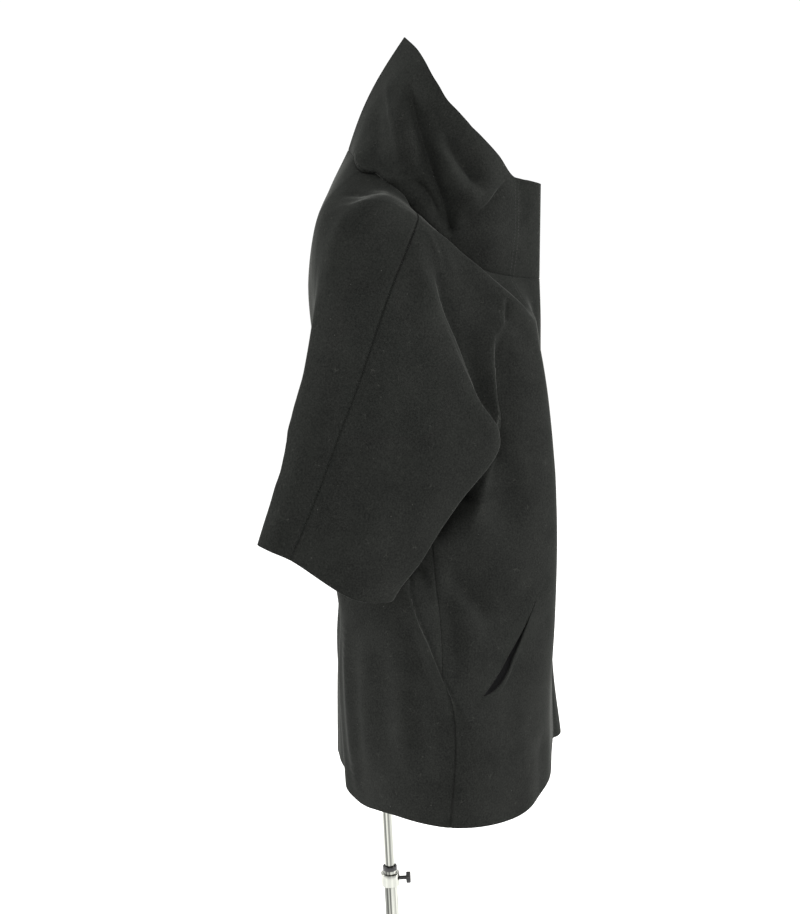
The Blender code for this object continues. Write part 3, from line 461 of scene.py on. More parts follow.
# Folds: what they are on, their path, how far they stand out (less than nothing for a trough), their half
# widths to the left and right of the path, 2 for a round crest or 1 for a sharp one, the shares of the path
# over which they start and end, where these three aren't the usual ones, and the way they move, where that
# isn't straight out
FOLD_COLUMNS = ("on", "path", "rise", "left", "right", "crest", "start", "end", "way")
USUAL_FOLD = {"crest": 2, "start": 0.3, "end": 0.3}
FOLDS = (
    # Those that the solids have too
    ("body", ((226, 46, 890), (266, 118, 660)), 8, 20, 10, 1.7, 0.2, 0.3),
    ("body", ((222, 108, 915), (200, 176, 772)), -9, 32, 32),
    ("body", ((226, 92, 872), (258, 108, 730)), -8, 15, 15),
    ("body", ((60, 246, 700), (60, 249, 545)), 4, 26, 26),
    ("body", ((150, -48, 800), (150, -48, 545)), 5, 18, 18),
    ("body", ((180, 196, 1020), (186, 172, 900)), -6, 26, 26),
    ("collar", ((86, 62, 1502), (104, 68, 1400)), 6, 13, 13),
    ("collar", ((92, 92, 1490), (104, 110, 1350)), -6, 15, 15),
    ("collar", ((94, 118, 1470), (100, 134, 1340)), 5, 13, 13),
    ("collar", ((90, 124, 1462), (84, 176, 1370)), -6, 14, 14),
    ("collar", ((70, 24, 1440), (98, 66, 1376)), -5, 10, 10),
    # Chest: the edge where the front turns over to the neck, the hollow behind it, and drag lines
    ("any", ((171, 86, 1330), (168, 111, 1306), (163, 136, 1284), (154, 162, 1260), (144, 184, 1239),
     (129, 208, 1216), (114, 226, 1198), (103, 237, 1177)), 3.5, 5, 20, 1.4, 0.2, 0.3),
    ("any", ((140, 100, 1318), (130, 124, 1299), (118, 152, 1277), (105, 180, 1254), (93, 204, 1232),
     (83, 224, 1209), (78, 238, 1186)), -18, 19, 19, 2, 0.4, 0.25),
    ("any", ((154, 109, 1315), (149, 134, 1293), (140, 160, 1269), (130, 182, 1248), (115, 206, 1225),
     (100, 224, 1207), (89, 235, 1186)), -7, 11, 14, 1.8, 0.45, 0.2),
    ("any", ((185, 91, 1318), (193, 104, 1288), (191, 115, 1249)), 2.4, 8, 4, 1.4, 0.3, 0.5),
    ("any", ((176, 101, 1313), (184, 117, 1279), (173, 134, 1244)), 2.4, 9, 4, 1.4, 0.3, 0.5),
    # Front of the sleeve: its folded edge, the steep fall beside it, and the chest's own edge and hollow
    ("any", ((198, 82, 1312), (210, 84, 1277), (212, 98, 1229), (213, 112, 1186), (219, 127, 1146),
     (224, 145, 1105), (225, 160, 1078), (223, 174, 1050)), 3.5, 6, 22, 1.4, 0.25, 0.08),
    ("any", ((196, 100, 1296), (200, 106, 1264), (192, 119, 1222), (188, 134, 1180), (194, 148, 1138),
     (192, 158, 1100), (190, 168, 1070), (190, 168, 1040)), -16, 15, 9, 1.5, 0.35, 0.3),
    ("body", ((140, 196, 1180), (150, 184, 1160), (156, 180, 1137), (163, 181, 1102), (167, 182, 1066),
     (172, 176, 1034), (178, 168, 1000), (186, 163, 962), (194, 158, 928)), -13, 22, 9, 1.6, 0.2, 0.45),
    ("body", ((134, 190, 1200), (143, 179, 1184), (150, 169, 1171), (156, 165, 1156), (161, 165, 1137),
     (168, 166, 1102), (172, 168, 1066), (177, 162, 1034)), 1, 5, 16, 1.4, 0.12, 0.2, (6, 9, 0)),
    # The short tuck on the chest, sewn down: its groove and the ply beside it
    ("body", ((137, 196, 1224), (139, 194, 1192)), -3, 3.5, 3.5, 1.3, 0.02, 0.1),
    ("body", ((140, 190, 1222), (142, 188, 1190)), 2.5, 4, 6, 1.4, 0.1, 0.3),
    # Under the arm and down the side
    ("body", ((178, 172, 1020), (182, 163, 1001), (185, 154, 982), (190, 146, 960), (200, 136, 938),
     (206, 130, 921)), 1, 15, 6, 1.4, 0.15, 0.4, (10, 0, 1)),
    ("any", ((184, 150, 986), (190, 133, 964), (200, 116, 949), (208, 104, 937), (212, 95, 924),
     (215, 91, 908)), -24, 11, 20, 1.7, 0.25, 0.3, (0.9, 0.44, 0)),
    ("body", ((216, 93, 900), (218, 104, 874), (220, 122, 851), (217, 141, 826), (214, 154, 807),
     (215, 164, 786)), -8, 14, 14, 2, 0.3, 0.4),
    ("body", ((222, 48, 892), (228, 58, 857), (235, 64, 835), (241, 71, 814), (247, 79, 795), (258, 94, 754),
     (263, 109, 712), (266, 130, 654)), 1, 15, 6, 1.4, 0.08, 0.25, (11, -9, 1)),
    ("body", ((216, 66, 892), (222, 68, 872), (228, 72, 850)), -9, 8, 8, 1.8, 0.35, 0.5),
    ("body", ((222, 30, 840), (236, 54, 780), (250, 76, 720), (256, 96, 668)), -6, 10, 20, 1.8, 0.3, 0.4),
    ("body", ((213, 12, 800), (217, 8, 704), (221, 8, 600)), -4.5, 16, 18),
    ("body", ((238, 44, 760), (248, 55, 686), (255, 59, 600)), -4.5, 15, 16),
    ("body", ((228, 30, 770), (234, 32, 690), (240, 34, 600)), 2, 14, 14),
    ("body", ((191, -17, 800), (191, -22, 696), (191, -23, 590)), 2.5, 18, 16, 2, 0.3, 0.2),
    # Down the front and the back
    ("body", ((200, 186, 690), (206, 184, 600)), 2.5, 26, 26, 2, 0.4, 0.3),
    ("body", ((160, 222, 640), (170, 222, 490)), -2.5, 24, 24, 2, 0.3, 0.1),
    ("body", ((130, 246, 1080), (136, 248, 930)), 2, 30, 24, 2, 0.4, 0.4),
    ("body", ((74, 254, 1080), (70, 256, 800)), -2.5, 20, 20, 2, 0.4, 0.4),
    ("body", ((70, -66, 1250), (86, -60, 1080), (96, -56, 930)), -5, 20, 20),
    ("body", ((122, -62, 1150), (130, -55, 1000), (140, -50, 880)), 4, 16, 16),
    ("body", ((58, -60, 860), (66, -58, 700), (72, -64, 490)), -4, 22, 22, 2, 0.4, 0.05),
    ("body", ((108, -52, 800), (112, -50, 680), (115, -53, 490)), 4, 18, 18, 2, 0.4, 0.05),
    # Shoulder and sleeve: the dome over the arm, and the edge from it down the back of the sleeve
    ("any", ((150, -42, 1339), (172, -23, 1343), (180, -4, 1348), (188, 15, 1350), (192, 31, 1349),
     (186, 48, 1346), (184, 61, 1340), (180, 75, 1333), (174, 87, 1327)), 2, 9, 12, 2, 0.35, 0.15),
    ("any", ((189, 4, 1349), (193, -4, 1343), (202, -11, 1331), (208, -18, 1318), (211, -24, 1302),
     (215, -30, 1278), (221, -37, 1246), (226, -42, 1210)), 4, 22, 9, 1.6, 0.4, 0.4),
    ("any", ((138, -20, 1362), (146, 6, 1364), (150, 30, 1362), (148, 52, 1354)), -2, 9, 9),
    ("sleeve", ((254, 68, 906), (260, 52, 880), (266, 37, 856), (270, 22, 826)),
     1, 26, 26, 2, 0.5, 0.05, (0, -9, -2)),
    ("sleeve", ((262, -10, 1150), (285, -30, 1010)), -2.5, 30, 30, 2, 0.4, 0.4),
    ("sleeve", ((284, 10, 1010), (298, -30, 900)), 2.5, 30, 30, 2, 0.4, 0.2),
    ("sleeve", ((255, -85, 1085), (272, -105, 1000)), -4, 16, 16, 2, 0.4, 0.4),
    ("sleeve", ((250, -70, 1150), (262, -90, 1090)), 3, 14, 14, 2, 0.4, 0.4),
    # Collar: a long edge from the rim, the roll beside it, a deep crease, and the hollow along the rim
    ("collar", ((23, 52, 1519), (61, 55, 1487), (93, 59, 1446), (99, 64, 1409), (100, 66, 1374)),
     5.5, 16, 5, 1.2, 0.35, 0.3),
    ("collar", ((36, 36, 1492), (76, 38, 1446), (95, 42, 1408)), -5, 11, 16, 1.8, 0.3, 0.3),
    ("collar", ((62, 68, 1505), (88, 72, 1462), (101, 82, 1412), (103, 92, 1375)), 4, 12, 12),
    ("collar", ((60, 80, 1520), (86, 83, 1477), (98, 94, 1434), (103, 106, 1389), (105, 119, 1355),
     (99, 127, 1319), (97, 131, 1302)), -14, 12, 6, 1.2, 0.15, 0.1),
    ("collar", ((84, 104, 1490), (100, 122, 1445), (102, 138, 1416), (93, 157, 1389), (84, 180, 1360)),
     -15, 12, 12, 1.7, 0.5, 0.2),
    ("collar", ((96, 98, 1440), (104, 116, 1417), (105, 131, 1404)), 5, 6, 7, 1.5, 0.4, 0.4),
    # The sagging roll at the collar's side, the creases under it, and the roll over the neck seam behind
    ("collar", ((107, 127, 1378), (99, 152, 1364), (86, 176, 1354)), 5, 14, 14, 2, 0.35, 0.35),
    ("collar", ((98, 130, 1320), (94, 157, 1328), (82, 183, 1342), (66, 201, 1362), (50, 212, 1380)),
     -12, 6, 15, 1.2, 0.25, 0.35),
    ("collar", ((102, 76, 1382), (103, 90, 1372), (105, 102, 1357), (104, 111, 1339), (99, 122, 1313)),
     -11, 8, 7, 1.3, 0.25, 0.2),
    ("any", NECK_ROLL, 8, 24, 24),
    ("any", NECK_ROLL, -8, 5, 5, 1.3, 0.3, 0.3),
    ("collar", ((14, 2, 1434), (45, 10, 1421), (80, 20, 1406), (97, 38, 1394), (103, 54, 1385),
     (105, 68, 1372)), 9, 7, 9, 1.5, 0.6, 0.2),
    # The foot of the collar hangs a little over its seam at the sides of the back
    ("collar roll", ((50, 7, 1420), (70, 12, 1410), (86, 20, 1400), (98, 31, 1388)),
     1, 12, 12, 2, 0.6, 0.3, (8, -9, -6)),
    # The back goes in at the waist, its left half hangs further out at the hem than the right, and the hem
    # drops at the back's corners
    ("body", ((0, -56, 930), (0, -54, 850), (0, -53, 770), (0, -60, 680)), -6, 110, 110, 2, 0.25, 0.4),
    ("right body", ((150, -47, 900), (156, -46, 770), (160, -44, 660), (158, -40, 490)),
     -12, 60, 80, 2, 0.3, 0.05),
    ("left body", ((78, -60, 800), (86, -58, 660), (92, -61, 490)), 5, 34, 34, 2, 0.5, 0.05),
    ("body", ((235, 24, 545), (190, -11, 545), (150, -33, 545), (110, -50, 545), (50, -58, 545)),
     1, 45, 45, 2, 0.5, 0.45, (0, 0, -15)),
    # The pressed line that runs on from each end of the pocket's slit
    ("body", ((144, 240, 840), (169, 220, 820)), -1.5, 3.5, 3.5, 1.4, 0.3, 0.01),
    ("body", ((247, 139, 713), (258, 123, 701)), -1.5, 3.5, 3.5, 1.4, 0.01, 0.3),
)
FOLD_REACH = 3
PATH_STEPS = 24
UNEVEN_FROM = 40
UNEVEN_FORWARD, FORWARD_RATE = 4, 2.1
UNEVEN_HEIGHT, HEIGHT_RATE = 8, 1.7
LEFT_DEPTH, UNEVEN_DEPTH, DEPTH_RATE = 0.9, 0.25, 3.3
POCKET_PATH = ((166, 222, 823), (187, 203, 789), (208, 183, 759), (231, 159, 729), (248, 138, 712))
SLIT_STEPS = 30
SLIT_DEGREE = 3
POCKET_GAPE, GAPE_SKEW = 4.8, 1.6
POCKET_LIP, LIP_SKEW = 2.6, 1.3
LOWER_GAPE, UPPER_GAPE, UPPER_SINK = 1.5, 0.5, 0.4
POCKET_LIP_ROWS = 10
POCKET_SHIFT_ROWS = 60
POUCH_CLOTH = 1.2
POUCH_SEAT = 0.6
POUCH_SLACK = 9
POUCH_TOP_ROWS = 12
POUCH_MARGIN = 7
RIM_TURNS = (45, 90, 135)
LEAST_LENGTH = 1e-9


def soft_step(share):
    """A step from 0 to 1: 3 s^2 - 2 s^3."""
    share = np.clip(share, 0, 1)
    return share * share * (3 - 2 * share)


def unit(vectors):
    """Vectors made one long."""
    return vectors / np.maximum(np.linalg.norm(vectors, axis=1, keepdims=True), LEAST_LENGTH)


def point_normals(points, quads):
    """At each point, the sum of its faces' areas times their facing, made one long."""
    a, b, c, d = (points[quads[:, k]] for k in range(4))
    facing = np.cross(c - a, d - b)
    normals = np.zeros_like(points)
    for k in range(4):
        np.add.at(normals, quads[:, k], facing)
    return unit(normals)


def lap_outs(under):
    """Sideways places of the lap's columns: the left front has some past the middle."""
    return list(range(-LAP if under else 0, LAP + 1, LAP_STEP))


def edge_points(row, outs):
    """The front near its edge, which falls back from the edge as a parabola: forward - fall (out / lap)^2."""
    edge = dict(zip(EDGE_COLUMNS, row))
    share = (np.array(outs) / LAP) ** 2
    return np.stack([outs, edge["forward"] - edge["fall"] * share, edge["height"] + edge["rise"] * share], axis=-1)


def strips_of(under, lines):
    """Strips of faces between the columns of the lap, and then between the lines."""
    return (LAP_STRIPS,) * (len(lap_outs(under)) - 1) + tuple(LINE_STRIPS[line] for line in lines)


def coat_grids(under):
    """Points of one half coat, and grids of their numbers: columns are smooth curves through each line's
    levels, and rows are smooth curves across the columns."""
    lines = FRONT_LINES + BACK_LINES
    outs = lap_outs(under)
    edge = np.stack([edge_points(row, outs) for row in FRONT_EDGE.values()])
    edge = list(spline(edge, JOINED_ROWS + SKIRT_ROWS).transpose(1, 0, 2))
    rows_for = {len(rows) + 1: rows for rows in (
        JOINED_ROWS + SKIRT_ROWS, JOINED_ROWS + LOWER_SLEEVE_ROWS, JOINED_ROWS)}
    column = {line: curve(LEVELS[line], rows_for[len(LEVELS[line])]) for line in lines}
    low = sum(JOINED_ROWS)
    front_end = sum(strips_of(under, FRONT_LINES))
    side_front = sum(strips_of(under, FRONT_LINES[:3]))
    sleeve_front = side_front + LINE_STRIPS["front crease out"]
    sleeve_back = front_end + sum(LINE_STRIPS[line] for line in BACK_LINES[:4])
    side_back = sleeve_back + LINE_STRIPS["back crease in"]

    store = []

    def keep(points):
        first = sum(len(rows) for rows in store)
        store.append(points.reshape(-1, 3))
        return np.arange(first, first + points[..., 0].size).reshape(points.shape[:2])

    joined_points = spline([e[:low + 1] for e in edge] + [column[line][:low + 1] for line in lines],
                           strips_of(under, lines)).transpose(1, 0, 2)
    joined = keep(joined_points)

    seam = curve(SIDE_SEAM, SKIRT_ROWS)
    around = [e[low:] for e in edge] + [column[line][low:] for line in FRONT_LINES[:2]] + [seam]
    around += [column[line][low:] for line in BACK_LINES[-2:]]
    strips = strips_of(under, FRONT_LINES[:3]) + tuple(LINE_STRIPS[line] for line in BACK_LINES[-2:])
    skirt = keep(spline(around, strips).transpose(1, 0, 2)[1:])
    skirt_front = np.vstack([joined[-1, :side_front + 1], skirt[:, :side_front + 1]])
    skirt_back = np.vstack([joined[-1, side_back:], skirt[:, side_front:]])
    skirt_back[0, 0] = joined[-1, side_front]

    seam = curve(UNDERARM_SEAM, LOWER_SLEEVE_ROWS)
    around = [seam] + [column[line][low:] for line in SLEEVE_LINES] + [seam]
    around = around[-3:-1] + around + around[1:3]
    strips = (1, 1) + tuple(LINE_STRIPS[line] for line in SLEEVE_LINES + ("back crease out",)) + (1, 1)
    sleeve = keep(spline(around, strips).transpose(1, 0, 2)[1:, 2:-3])
    sleeve = np.hstack([sleeve, sleeve[:, :1]])
    middle = front_end - sleeve_front
    lower_front = np.vstack([joined[-1, sleeve_front:front_end + 1], sleeve[:, :middle + 1]])
    lower_back = np.vstack([joined[-1, front_end:sleeve_back + 1], sleeve[:, middle:]])
    lower_back[0, -1] = joined[-1, sleeve_front]

    rim = np.vstack([edge_points(RIM_EDGE, outs), [RIM[line] for line in lines]])
    rim = curve(rim, strips_of(under, lines))
    outward = unit((rim - (0, rim[:, 1].mean(), 0)) * (1, 1, 0))
    side = soft_step((rim[0, 1] - rim[:, 1:2]) / (rim[0, 1] - RIM["ridge"][1]))
    share = np.linspace(0, 1, COLLAR_ROWS + 1)[1:, None, None]
    neck = joined_points[0]
    collar = keep(neck + (rim - neck) * share + outward * side * COLLAR_BULGE * np.sin(math.pi * share))
    collar = np.vstack([joined[:1], collar])[::-1]

    joined_back = joined[:, front_end:].copy()
    under_arm = joined[-1, side_front:sleeve_front + 1]
    joined_back[-1, sleeve_back - front_end:side_back - front_end + 1] = under_arm[::-1]
    grids = {
        "joined front": joined[:, :front_end + 1], "skirt front": skirt_front, "lower sleeve front": lower_front,
        "joined back": joined_back, "skirt back": skirt_back, "lower sleeve back": lower_back, "collar": collar,
    }
    sleeve_numbers = np.concatenate([joined[:, sleeve_front:sleeve_back + 1].ravel(), sleeve.ravel()])
    return np.concatenate(store), grids, sleeve_numbers


def path_reach(points, path):
    """For each point: its share of the way along a smooth path, the straight way to it from there, and the
    path's run there.  Past the path's ends the way is to the end."""
    line = curve(path, PATH_STEPS)
    run = unit(np.gradient(line, axis=0))
    nearest = ((points[:, None] - line[None]) ** 2).sum(axis=2).argmin(axis=1)
    way = points - line[nearest]
    between = (nearest > 0) & (nearest < len(line) - 1)
    way -= run[nearest] * ((way * run[nearest]).sum(axis=1) * between)[:, None]
    return nearest / (len(line) - 1), way, run[nearest]


def add_fold(points, normals, row, where):
    """Moves points along their normals, or a given way, by rise * exp(-(d / width) ** crest), where d is the
    distance from the fold's path, times a soft step over the shares where the fold starts and ends."""
    fold = {**USUAL_FOLD, **dict(zip(FOLD_COLUMNS, row))}
    path = np.array(fold["path"], float)
    reach = FOLD_REACH * max(fold["left"], fold["right"])
    near = where & ((points > path.min(axis=0) - reach) & (points < path.max(axis=0) + reach)).all(axis=1)
    along, way, run = path_reach(points[near], path)
    leftward = (np.cross(normals[near], run) * way).sum(axis=1)
    width = np.where(leftward > 0, fold["left"], fold["right"])
    fade = soft_step(along / fold["start"]) * soft_step((1 - along) / fold["end"])
    rise = fold["rise"] * np.exp(-(np.linalg.norm(way, axis=1) / width) ** fold["crest"]) * fade
    points[near] += rise[:, None] * fold.get("way", normals[near])


def uneven(row, number):
    """The like of a fold for the left half: moved by (0, a sin(p n), b cos(q n)) mm, with its rise times
    c + d sin(r n), where n is its number.  Folds near the middle, where the halves meet, stay as they are."""
    path = np.array(row[1], float)
    if path[:, 0].min() < UNEVEN_FROM:
        return row
    forward = UNEVEN_FORWARD * math.sin(FORWARD_RATE * number)
    height = UNEVEN_HEIGHT * math.cos(HEIGHT_RATE * number)
    depth = LEFT_DEPTH + UNEVEN_DEPTH * math.sin(DEPTH_RATE * number)
    return (row[0], path + (0, forward, height), row[2] * depth, *row[3:])


def pocket_rows(cloth):
    """Bends the rows of the lower front so that one follows the pocket's slit.  In each column, row i takes the
    place of row i + shift * bump(i), where the bump falls softly from 1 at the slit's row to 0.  Gives the
    cloth, the slit's row and the columns of its ends."""
    line = curve(POCKET_PATH, SLIT_STEPS)
    rows, columns = cloth.shape[:2]
    gap = np.stack([np.linalg.norm(cloth - place, axis=2) for place in line])
    first, last = (int(gap[k].min(axis=0).argmin()) for k in (0, -1))
    on = np.arange(first, last + 1)
    near_row = gap.min(axis=0)[:, on].argmin(axis=0)
    slit = np.polyval(np.polyfit(on, near_row, SLIT_DEGREE), on)
    row = int(round(slit.mean()))
    shift = np.zeros(columns)
    shift[on] = slit - row
    shift[:first] = shift[first] * soft_step(np.arange(first) / first)
    shift[last + 1:] = shift[last] * soft_step(np.arange(columns - 2 - last, -1, -1) / (columns - 1 - last))
    bump = 1 - soft_step(np.abs(np.arange(rows) - row) / POCKET_SHIFT_ROWS)
    place = np.arange(rows)[:, None] + bump[:, None] * shift[None, :]
    under = np.clip(np.floor(place).astype(int), 0, rows - 2)
    share = (place - under)[..., None]
    across = np.arange(columns)[None, :]
    return cloth[under, across] * (1 - share) + cloth[under + 1, across] * share, row, first, last


def open_pocket(points, normals, grid, row, first, last):
    """Parts one row of a grid into two lips between two columns.  The lips move apart by gape * sin(pi s^skew)
    at share s of the slit, the lower one most, less the further a row lies from it, and it also stands out."""
    count = len(points)
    low = grid[row:].copy()
    low[0, first + 1:last] = np.arange(count, count + last - first - 1)
    points = np.vstack([points, points[grid[row, first + 1:last]]])
    share = np.linspace(0, 1, last - first + 1)
    gape = (POCKET_GAPE * np.sin(math.pi * share ** GAPE_SKEW))[:, None]
    stand = (POCKET_LIP * np.sin(math.pi * share ** LIP_SKEW))[:, None]
    on = grid[row, first:last + 1]
    aside = unit(np.cross(normals[on], np.gradient(points[on], axis=0)))
    outward = normals[on]
    for k in range(POCKET_LIP_ROWS):
        fade = 1 - soft_step(k / POCKET_LIP_ROWS)
        points[low[k, first:last + 1]] += (aside * gape * LOWER_GAPE + outward * stand) * fade
        points[grid[row - k, first:last + 1]] -= (
            aside * gape * UPPER_GAPE + outward * stand * UPPER_SINK) * fade
    return points, grid[:row + 1], low


def half_coat(under):
    """The folded middle surface of one half coat: its points, normals and grids, and those of its pouch."""
    points, grids, sleeve_numbers = coat_grids(under)

    def facing():
        normals = point_normals(points, np.vstack([grid_quads(grid) for grid in grids.values()]))
        for name in ("joined back", "skirt back", "collar"):
            normals[grids[name][:, -1], 0] = 0
        return unit(normals)

    numbers = {"sleeve": sleeve_numbers, "collar": grids["collar"], "collar roll": grids["collar"][:-1]}
    part = {name: np.isin(np.arange(len(points)), on) for name, on in numbers.items()}
    part["body"] = ~part["sleeve"] & ~part["collar"]
    part["any"] = np.ones(len(points), bool)
    part["left body"] = part["body"] & under
    part["right body"] = part["body"] & (not under)
    normals = facing()
    for number, row in enumerate(FOLDS):
        add_fold(points, normals, uneven(row, number) if under else row, part[row[0]])

    skirt = grids["skirt front"]
    points[skirt], row, first, last = pocket_rows(points[skirt])
    normals = facing()
    seams = np.unique(np.concatenate(
        [grids[name][:, -1] for name in ("joined front", "skirt front", "lower sleeve front")]
        + [grids["lower sleeve front"][:, 0]]))
    points[seams] -= SEAM_PRESS * normals[seams]
    normals = facing()
    quarter = sum(strips_of(under, FRONT_LINES[:1]))
    bag = skirt[SKIRT_ROWS[0] + POUCH_TOP_ROWS:sum(SKIRT_ROWS[:3]) + 1, quarter - POUCH_MARGIN:-POUCH_MARGIN]
    down, across = (np.linspace(0, 1, size) for size in bag.shape)
    slack = soft_step(4 * down * (1 - down))[:, None] * soft_step(4 * across * (1 - across))[None, :]
    depth = (CLOTH + POUCH_CLOTH) / 2 + POUCH_SEAT + POUCH_SLACK * slack
    pouch = points[bag] - depth[..., None] * normals[bag], normals[bag]
    points, grids["skirt front"], grids["skirt front low"] = open_pocket(points, normals, skirt, row, first, last)

    normals = facing()
    if under:
        columns = (len(lap_outs(True)) - 1) * LAP_STRIPS + 1
        flat = columns - 1 - LAP // LAP_STEP * LAP_STRIPS
        fade = 1 - soft_step((np.arange(columns) - flat) / (LAP_RAMP * LAP_STRIPS))
        tuck = np.zeros(len(points))
        for name in ("joined front", "skirt front", "skirt front low", "collar"):
            tuck[grids[name][:, :columns]] = (CLOTH + LAP_GAP) * fade
        points -= tuck[:, None] * normals
    return points, normals, grids, pouch


def cloth_wall(points, normals, quads, thickness):
    """A closed wall round a surface: the surface moved out and in by half the thickness h, joined at its
    rim by half rounds, base + normal h cos a - inward h sin a for a from 0 to 180 degrees."""
    used, quads = np.unique(quads, return_inverse=True)
    quads = quads.reshape(-1, 4)
    points = points[used].copy()
    normals = normals[used]
    count = len(points)
    start, end = quads.ravel(), np.roll(quads, -1, axis=1).ravel()
    open_side = ~np.isin(start * count + end, end * count + start)
    start, end = start[open_side], end[open_side]
    aside = unit(np.cross(normals[start] + normals[end], points[end] - points[start]))
    inward = np.zeros_like(points)
    np.add.at(inward, start, aside)
    np.add.at(inward, end, aside)
    inward = unit(inward)
    half = thickness / 2
    points += inward * (SEAM_GAP / 2 + half)
    rim = np.unique(start)
    ring = np.full(count, -1)
    ring[rim] = np.arange(len(rim))
    layers = [points + normals * half, points - normals * half]
    numbers = [np.arange(count)]
    for turn in np.radians(RIM_TURNS):
        numbers.append(sum(len(layer) for layer in layers) + ring)
        layers.append(points[rim] + normals[rim] * half * math.cos(turn) - inward[rim] * half * math.sin(turn))
    numbers.append(np.arange(count) + count)
    sides = [np.stack([a[end], a[start], b[start], b[end]], axis=1) for a, b in zip(numbers, numbers[1:])]
    return np.concatenate(layers), np.vstack([quads, quads[:, ::-1] + count, *sides])


def place_half(points, quads, left):
    """Out, forward and height in mm of the right half turned into the part's frame, or mirrored to the left."""
    out, forward, height = points.T
    placed = np.stack([out if left else -out, -forward, height], axis=1) * MM
    return placed, quads[:, ::-1] if left else quads


def felted_wool():
    """Felted wool, milled and brushed: near black, matte, with a short nap that catches light at a slant,
    a faint cloudy tone, and a few pale specks of lint and loose fibres."""
    finish, shader, place = start_finish(
        "felted wool, milled", Roughness=0.95, Specular_IOR_Level=0.02, Sheen_Weight=0.13, Sheen_Roughness=0.25,
        Sheen_Tint=to_linear("#D8DAD4"))
    nap = add_noise(place, 2.2, Detail=4, Roughness=0.7)
    mottle = add_math("MULTIPLY_ADD", add_noise(place, 45, Detail=2), 0.25, nap)
    tone = mix_tones(add_range(mottle, 0.4, 0.85), "#121312", "#252624")
    lint = add_node("TexVoronoi", {"Vector": place, "Scale": 1 / (20 * MM)}), "Distance"
    speck = add_range(lint, 0.012, 0.035, 0.3, 0.0)
    wander = add_math("SUBTRACT", add_noise(place, 8, Detail=0), 0.5)
    line = add_range(add_math("ABSOLUTE", wander), 0.004, 0.015, 0.06, 0.0)
    here = add_range(add_noise(place, 13, Detail=0), 0.63, 0.7)
    fibre = add_math("MULTIPLY_ADD", line, here, speck)
    feed(shader, Base_Color=mix_tones(fibre, tone, "#7C7C76"), Normal=add_bump(nap, 0.4, 0.5))
    return finish


wool = felted_wool()
halves = {"right": half_coat(False), "left": half_coat(True)}
PIECES = {
    "front": ("joined front", "skirt front", "skirt front low", "lower sleeve front"),
    "back": ("joined back", "skirt back", "lower sleeve back"),
    "collar": ("collar",),
}


def sew_piece(piece, side):
    """One cloth piece of a half coat, as a wall that takes the place of its CAD node."""
    points, normals, grids, _ = halves[side]
    quads = np.vstack([grid_quads(grids[name]) for name in PIECES[piece]])
    wall = place_half(*cloth_wall(points, normals, quads, CLOTH), side == "left")
    cloth = make_piece(f"{piece}_{side}_cloth", *wall, wool, "figure", "wool", f"{piece}_{side}")


for side in halves:
    sew_piece("front", side)

# Pocket pouches: thin dark twill, sewn flat to the inside of each front round its edges, slack in the middle.
# They show only through the slits.
RIB_BAND = 0.7
RIB_TURN = (0.785, 0, 0.4)


def dark_twill():
    """Pocketing twill: black, thin, with diagonal ribs drawn about 4 mm apart."""
    finish, shader, place = start_finish("pocketing twill", Roughness=0.8)
    rib = add_bands(add_mapping(place, Rotation=RIB_TURN), RIB_BAND)
    feed(shader, Base_Color=mix_tones(rib, "#0D0D0E", "#161617"), Normal=add_bump(rib, 0.3, 0.2))
    return finish


twill = dark_twill()
for side in halves:
    points, normals = (layer.reshape(-1, 3) for layer in halves[side][3])
    quads = grid_quads(np.arange(len(points)).reshape(halves[side][3][0].shape[:2]))
    wall = place_half(*cloth_wall(points, normals, quads, POUCH_CLOTH), side == "left")
    pouch = make_piece(f"pocket_{side}_pouch", *wall, twill, "figure", "pocketing", f"pocket_{side}")

# Front stitching: two rows of topstitching hold the facing behind each front edge, from the collar's rim
# down to the hem, in a thread a shade lighter than the wool.
STITCH_ROWS = (58, 65)
STITCH_SLANT = 9
STITCH_SLANT_HEIGHTS = (1230, 1368)
STITCH_PITCH = 4.4
STITCH_SIZE = (3.4, 1.0, 0.6)
STITCH_SIDES = 6
STITCH_COLUMNS = 60
PLY_BAND = 0.4


def sewing_thread():
    """Polyester sewing thread, twisted: dark grey, with a slight lustre and slanting plies."""
    finish, shader, place = start_finish("sewing thread, twisted", Roughness=0.8, Specular_IOR_Level=0.1)
    ply = add_bands(place, PLY_BAND, bands_direction="DIAGONAL")
    feed(shader, Base_Color=mix_tones(ply, "#232422", "#30312F"))
    return finish


def edge_line(side, distance):
    """The line on the outside of a front at a distance from its edge, measured along each row of its grids.  On
    the collar the distance gets less with height, so that the line leans forward."""
    points, normals, grids, _ = halves[side]
    starts = {"collar": 0, "joined front": 1, "skirt front": 1, "skirt front low": 1}
    rows = np.vstack([grids[name][start:, :STITCH_COLUMNS] for name, start in starts.items()])
    cloth = points[rows]
    run = np.cumsum(np.linalg.norm(np.diff(cloth, axis=1), axis=2), axis=1)
    distance = distance + np.interp(cloth[:, 0, 2], STITCH_SLANT_HEIGHTS, (STITCH_SLANT, -STITCH_SLANT))
    column = (run < distance[:, None]).sum(axis=1)
    every = np.arange(len(rows))
    before = run[every, column - 1]
    share = ((distance - before) / (run[every, column] - before))[:, None]
    place = cloth[every, column] * (1 - share) + cloth[every, column + 1] * share
    facing = normals[rows[every, column]]
    return place + facing * CLOTH / 2, facing


